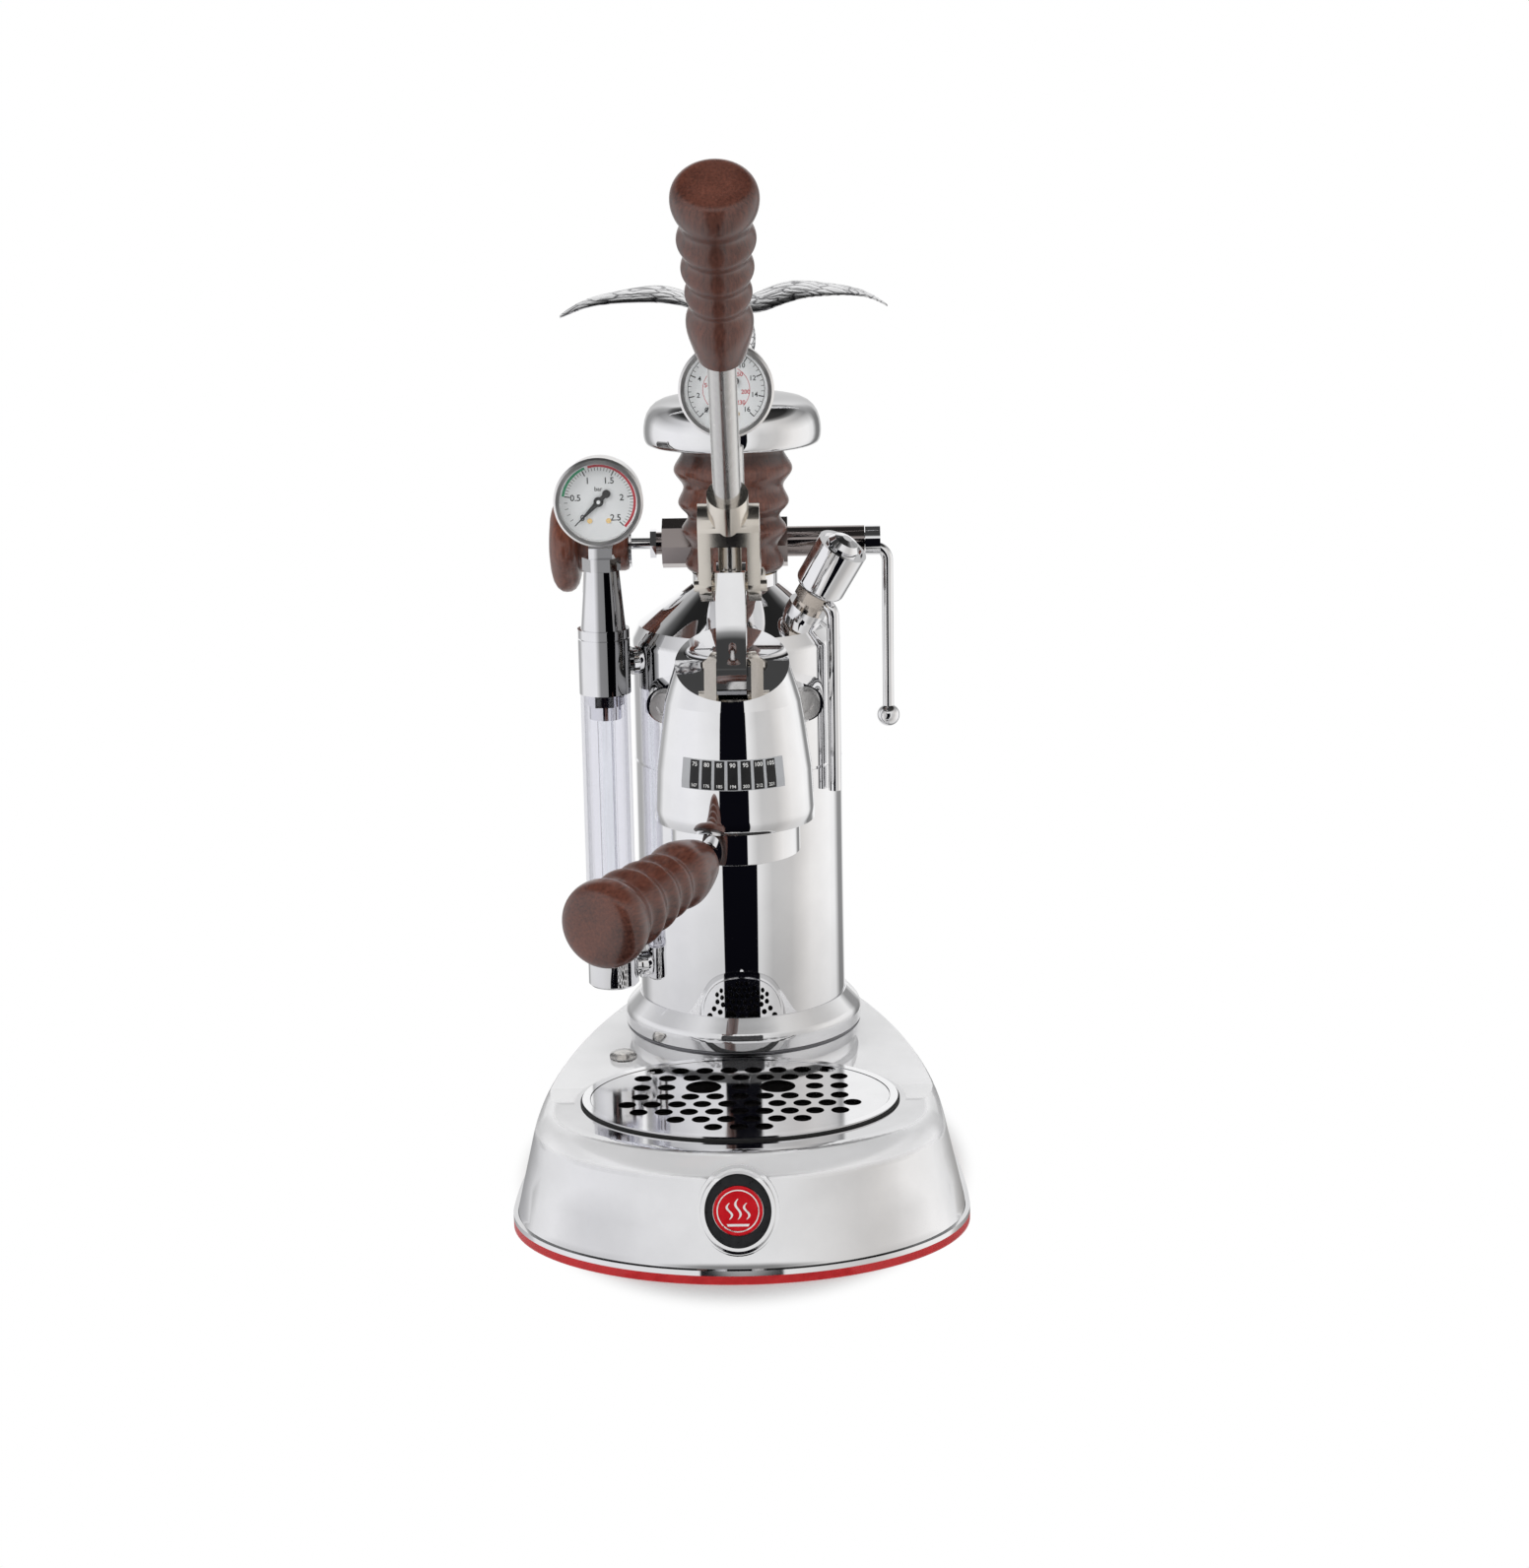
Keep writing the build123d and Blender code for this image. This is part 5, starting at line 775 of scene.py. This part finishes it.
def turned_knob():
    """The steam knob's disc with its soft edge and four shallow waists, and its round hub."""
    low, high, middle = corners(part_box("steam_knob"))
    disc_radius = (high.z - low.z) / 2
    disc_width = 14 * mm
    hub_radius = 12.5 * mm
    waist_depth = 0.14
    steps = 96
    disc_shares = ((0, 0.001), (0, 0.42), (0.03, 0.60), (0.10, 0.78), (0.22, 0.91),
                   (0.38, 0.985), (0.52, 1.0), (0.68, 0.985), (0.82, 0.93), (0.93, 0.83),
                   (1.0, 0.68))
    hub_shares = ((0, 1.04), (0.1, 1.0), (0.9, 1.0), (0.97, 0.95), (1.0, 0.86), (1.0, 0.3))
    disc_right = low.x + disc_width
    profile = [(low.x + disc_width * along, disc_radius * out, out)
               for along, out in disc_shares]
    profile += [(disc_right + (high.x - disc_right) * along, hub_radius * out, 0)
                for along, out in hub_shares]

    def ring(x, radius, waisted):
        points = []
        for step in range(steps):
            turn = math.tau * step / steps
            reach = radius * (1 - waist_depth * (1 - math.cos(4 * turn)) / 2 * waisted)
            points.append((x, middle.y + reach * math.sin(turn),
                           middle.z + reach * math.cos(turn)))
        return points

    knob = solid("steam_knob_turned", lambda shape: skin(shape, [ring(*row) for row in profile]),
                 side_wood, "steam_control")
    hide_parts("steam_knob")


def spun_cap():
    """The chrome cap: a low drum with steep sides, a broad shoulder and a flat crown."""
    low, high, middle = corners(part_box("chrome_cap"))
    radius = (high.x - low.x) / 2
    steps = 128
    cap_shares = (
        (0.02, 0), (0.90, 0), (0.945, 0.008), (0.972, 0.035), (0.988, 0.09), (0.997, 0.17),
        (1.0, 0.27), (0.996, 0.39), (0.983, 0.52), (0.958, 0.65), (0.917, 0.765),
        (0.858, 0.862), (0.778, 0.93), (0.67, 0.97), (0.52, 0.99), (0.32, 1.0), (0.02, 1.0),
    )

    def build(shape):
        skin(shape, [
            [(middle.x + x, middle.y + y, low.z + (high.z - low.z) * up)
             for x, y in circle(radius * out, steps)] for out, up in cap_shares
        ])

    cap = solid("chrome_cap_spun", build, cap_chrome, "boiler_cap")
    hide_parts("chrome_cap")


def ring_groove():
    """A dark tube under the bead of the boiler's foot ring: painted shade that stands in for the
    dark line in its groove.
    """
    low, high, middle = corners(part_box("boiler_ring"))
    thickness = 1.3 * mm
    inset = 1.5 * mm
    height = low.z + 6.9 * mm
    radius = (high.x - low.x) / 2 - inset
    steps = 160
    sides = 12

    def build(shape):
        rings = [
            [(middle.x + (radius + out) * across, middle.y + (radius + out) * along, height + up)
             for out, up in circle(thickness, sides)] for across, along in circle(1, steps)
        ]
        loops = loops_of(shape, rings)
        weave(shape, loops + loops[:1], smooth=True)

    solid("ring_groove_shade_line", build, groove_shade_metal, "stand")


def badge():
    """A black field in the bezel and a generic motif of rising steam on the disc."""
    tilt = math.radians(13)
    out = Vector((0, -math.cos(tilt), math.sin(tilt)))
    up = Vector((0, math.sin(tilt), math.cos(tilt)))
    disc_face = 1.1 * mm
    face = corners(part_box("badge_disc"))[2] + out * disc_face

    def place(x, y, z):
        return face + Vector((1, 0, 0)) * x + up * y + out * z

    def field(shape):
        steps = 72
        inner = circle(10.6 * mm, steps)
        outer = circle(14.5 * mm, steps, 16.2 * mm)
        deep, shallow = -1.0 * mm, -0.55 * mm
        edges = ((inner, deep), (inner, shallow), (outer, shallow), (outer, deep))
        loops = loops_of(shape, [[place(x, y, height) for x, y in outline]
                                 for outline, height in edges])
        weave(shape, loops + loops[:1])

    solid("badge_field", field, badge_black, "stand")

    def steam(shape):
        motif_height = 0.06 * mm
        column_pitch = 3.6 * mm
        column_foot = -3.5 * mm
        column_tall = 8.6 * mm
        sway_width = 1.1 * mm
        half_width = 0.55 * mm
        taper_start_share = 0.12
        taper_span_share = 0.76
        steps = 16
        for column, tall_share in ((-1, 0.8), (0, 1.0), (1, 0.8)):
            left, right = [], []
            for step in range(steps + 1):
                share = step / steps
                centre = column * column_pitch + sway_width * math.sin(math.tau * share)
                height = column_foot + column_tall * tall_share * share
                taper = math.pi * (taper_start_share + taper_span_share * share)
                width = half_width * math.sin(taper)
                left.append((centre - width, height))
                right.append((centre + width, height))
            slab(shape, left + right[::-1], place, motif_height)
        rim_steps = 64
        rim = circle(8.9 * mm, rim_steps)
        inner = circle(8.4 * mm, rim_steps)
        for index in range(rim_steps):
            after = (index + 1) % rim_steps
            slab(shape, [rim[index], rim[after], inner[after], inner[index]], place, motif_height)
        bar_top, bar_bottom = -5.4 * mm, -6.4 * mm
        bar_half_top, bar_half_bottom = 4.8 * mm, 4.2 * mm
        bar = [(-bar_half_top, bar_top), (bar_half_top, bar_top),
               (bar_half_bottom, bar_bottom), (-bar_half_bottom, bar_bottom)]
        slab(shape, bar, place, motif_height)

    solid("badge_steam", steam, ink_white, "stand")


def strip_prints():
    """Seven dark cells round the bell's front, with their temperatures in two scales."""
    middle = corners(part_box("temperature_strip"))[2]
    cell_numbers = range(-3, 4)
    cell_turn = 9.632
    half_cell = 3.7
    half_height = 6.1 * mm
    cell_rows = 12
    cell_lift = 0.06 * mm
    words_lift = 0.08 * mm
    middle_degrees = 90
    degrees_step = 5
    second_scale = 1.8
    second_start = 32
    probe = 1 * mm
    widest = {}
    for vertex in nodes["temperature_strip"].data.vertices:
        level = round(vertex.co.z, 5)
        radius = math.hypot(vertex.co.x, vertex.co.y - group_y)
        widest[level] = max(widest.get(level, 0), radius)
    profile = sorted(widest.items())

    def on_bell(turn, height, lift=0.0):
        radius = between(profile, height) + cell_lift + lift
        angle = math.radians(turn)
        return Vector((radius * math.sin(angle), group_y - radius * math.cos(angle), height))

    def cells(shape):
        for number in cell_numbers:
            turns = [number * cell_turn + half_cell * side for side in (-1, -0.5, 0, 0.5, 1)]
            rows = [middle.z + half_height * (2 * step / cell_rows - 1)
                    for step in range(cell_rows + 1)]
            sheet = loops_of(shape, [[on_bell(turn, row) for turn in turns] for row in rows])
            for lower, upper in zip(sheet, sheet[1:]):
                for first in range(len(turns) - 1):
                    shape.faces.new((lower[first], lower[first + 1],
                                     upper[first + 1], upper[first]))

    solid("strip_cells", cells, ink, "stand")
    for index, number in enumerate(cell_numbers):
        turn = number * cell_turn
        degrees = middle_degrees + degrees_step * number
        second = round(degrees * second_scale + second_start)
        for label, text, size, lift in (
            ("high", str(degrees), 2.5 * mm, 4.3 * mm),
            ("low", str(second), 1.9 * mm, -4.6 * mm),
        ):
            place = on_bell(turn, middle.z + lift, words_lift)
            below, above = (between(profile, place.z + step) for step in (-probe, probe))
            tilt = math.radians(90) - math.atan((below - above) / (2 * probe))
            spin = Matrix.Rotation(math.radians(turn), 4, "Z") @ Matrix.Rotation(tilt, 4, "X")
            words(f"strip_{index}_{label}", text, size, place, spin, ink_white, "stand")


def lamp_core():
    """The small facetted lens seat under the pilot lamp's dome."""
    centre = corners(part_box("pilot_lamp"))[2]
    base = 46.7 * mm
    seat_radius, seat_height = 4.4 * mm, 0.5 * mm
    core_radius, core_height = 2.2 * mm, 0.7 * mm
    sides = 12

    def facets(shape):
        slab(shape, circle(seat_radius, sides),
             lambda x, y, z: Vector((centre.x + x, centre.y + y, base + z)), seat_height)
        slab(shape, circle(core_radius, sides),
             lambda x, y, z: Vector((centre.x + x, centre.y + y, base + seat_height + z)),
             core_height)

    solid("lamp_facets", facets, steel, "stand")


boiler_dial()
piston_dial()
turned_knob()
spun_cap()
ring_groove()
badge()
strip_prints()
lamp_core()


def tent_tone(azimuth, elevation):
    """Brightness and tint of the tent in a direction."""
    if abs(azimuth) < dark_half_angle and elevation < dark_top:
        return dark_tone
    rise = min(max((elevation - high_start) / high_span, 0), 1)
    tone = between(side_tones, azimuth) * (1 - rise) + between(high_tones, azimuth) * rise
    tone *= 1 - top_depth * between(top_tones, max(elevation, 0))
    warm = max(0, 1 - abs(azimuth - warm_azimuth) / warm_reach) * warm_depth
    cool = max(0, 1 - abs(azimuth - cool_azimuth) / cool_reach) * cool_depth
    return (tone * (1 - cool), tone * (1 - warm / 2 - cool), tone * (1 - warm))


def direction_tone(point):
    """The tent's tone at a point of its dome or of its mat."""
    way = point - tent_centre
    azimuth = math.degrees(math.atan2(way.x, -way.y))
    tone = tent_tone(azimuth, math.degrees(math.atan2(way.z, way.xy.length)))
    if point.z > mat_top:
        return tone
    shade = between(mat_tones, way.xy.length)
    return tuple(shade * part for part in tone)


def glowing_sheet(name, rows):
    """A sheet of closed rows of points that only reflections see, glowing by direction."""
    width = len(rows[0])
    points = [point for row in rows for point in row]
    faces = [
        (row * width + column, row * width + (column + 1) % width,
         (row + 1) * width + (column + 1) % width, (row + 1) * width + column)
        for row in range(len(rows) - 1) for column in range(width)
    ]
    mesh = bpy.data.meshes.new(name)
    mesh.from_pydata([tuple(point) for point in points], [], faces)
    glow = mesh.color_attributes.new("glow", "FLOAT_COLOR", "POINT")
    for index, point in enumerate(points):
        glow.data[index].color = (*direction_tone(point), 1)
    piece = bpy.data.objects.new(name, mesh)
    scene.collection.objects.link(piece)
    make = Nodes(name)
    shine = make.add("ShaderNodeEmission")
    reading = make.add("ShaderNodeAttribute", attribute_name="glow")
    make.link(reading.outputs["Color"], shine.inputs["Color"])
    make.surface(shine.outputs[0])
    mesh.materials.append(make.material)
    piece.visible_camera = False
    piece.visible_diffuse = False
    piece.visible_shadow = False
    piece.visible_transmission = False


def light_tent():
    """A dome round the machine and a mat on the floor, seen by reflections alone."""
    turns = [math.tau * (column + 0.5) / tent_columns for column in range(tent_columns)]
    dome = []
    for row in range(tent_rows + 1):
        lift = math.radians(tent_low + (tent_high - tent_low) * row / tent_rows)
        dome.append([
            tent_centre + tent_radius * Vector((
                math.sin(turn) * math.cos(lift), -math.cos(turn) * math.cos(lift), math.sin(lift)
            )) for turn in turns
        ])
    glowing_sheet("tent_dome", dome)
    mat = [
        [Vector((reach * math.sin(turn), tent_centre.y - reach * math.cos(turn), mat_height))
         for turn in turns] for reach in mat_reaches
    ]
    glowing_sheet("tent_mat", mat)


def seen(tree):
    """One for rays from the camera, a mirror or a glass, and zero for the light's own rays."""
    path = tree.nodes.new("ShaderNodeLightPath")
    total = path.outputs["Is Camera Ray"]
    for kind in ("Is Glossy Ray", "Is Transmission Ray"):
        either = tree.nodes.new("ShaderNodeMath")
        either.operation = "MAXIMUM"
        tree.links.new(total, either.inputs[0])
        tree.links.new(path.outputs[kind], either.inputs[1])
        total = either.outputs[0]
    return total


def white_floor():
    """A floor that keeps the machine's rendered shadow near its base, with a painted soft shadow
    where its grey fades out in an oval round the base, and is white beyond.
    """
    mesh = bpy.data.meshes.new("floor")
    mesh.from_pydata(
        [(-floor_reach, -floor_reach, 0), (floor_reach, -floor_reach, 0),
         (floor_reach, floor_reach, 0), (-floor_reach, floor_reach, 0)],
        [], [(0, 1, 2, 3)],
    )
    floor = bpy.data.objects.new("floor", mesh)
    scene.collection.objects.link(floor)
    make = Nodes("floor")
    make.set(Base_Color=floor_tone, Roughness=0.9, Specular_IOR_Level=0.0)
    low, high, middle = corners(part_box("base_plate"))
    half_x, half_y = (high.x - low.x) / 2, (high.y - low.y) / 2
    # The oval of the painted soft shadow round the base plate
    oval = make.add("ShaderNodeMapping")
    oval.inputs["Scale"].default_value = (1 / (shadow_side_share * half_x), 1 / half_y, 1)
    oval.inputs["Location"].default_value = (0, (shadow_forward - middle.y) / half_y, 0)
    make.link(make.add("ShaderNodeTexCoord").outputs["Object"], oval.inputs["Vector"])
    length = make.add("ShaderNodeVectorMath", operation="LENGTH")
    make.link(oval.outputs["Vector"], length.inputs[0])
    fade = make.add("ShaderNodeMapRange", interpolation_type="SMOOTHERSTEP",
                    From_Min=shadow_full_share, From_Max=shadow_end_share)
    make.link(length.outputs["Value"], fade.inputs["Value"])
    share = make.join("ShaderNodeMath", fade.outputs["Result"], seen(make.tree),
                      operation="MULTIPLY")
    white = make.add("ShaderNodeEmission")
    make.surface(make.mix(share, make.shader.outputs[0], white.outputs[0]))
    mesh.materials.append(make.material)


def white_world():
    """A world that looks white and lights at a plainer level."""
    world = bpy.data.worlds.new("studio")
    scene.world = world
    world.use_nodes = True
    tree = world.node_tree
    back = tree.nodes["Background"]
    back.inputs["Color"].default_value = (1, 1, 1, 1)
    level = tree.nodes.new("ShaderNodeMapRange")
    level.inputs["To Min"].default_value = world_level
    level.inputs["To Max"].default_value = 1.0
    tree.links.new(seen(tree), level.inputs["Value"])
    tree.links.new(level.outputs["Result"], back.inputs["Strength"])


def soft_lamp(name, place, size, power):
    """A square lamp aimed at the machine, which the chrome doesn't mirror."""
    data = bpy.data.lights.new(name, "AREA")
    data.size = size
    data.energy = power
    lamp = bpy.data.objects.new(name, data)
    lamp.location = place
    lamp.rotation_euler = (lamp_aim - Vector(place)).to_track_quat("-Z", "Y").to_euler()
    lamp.visible_glossy = False
    scene.collection.objects.link(lamp)


light_tent()
white_floor()
white_world()
for lamp in lamps:
    soft_lamp(*lamp)
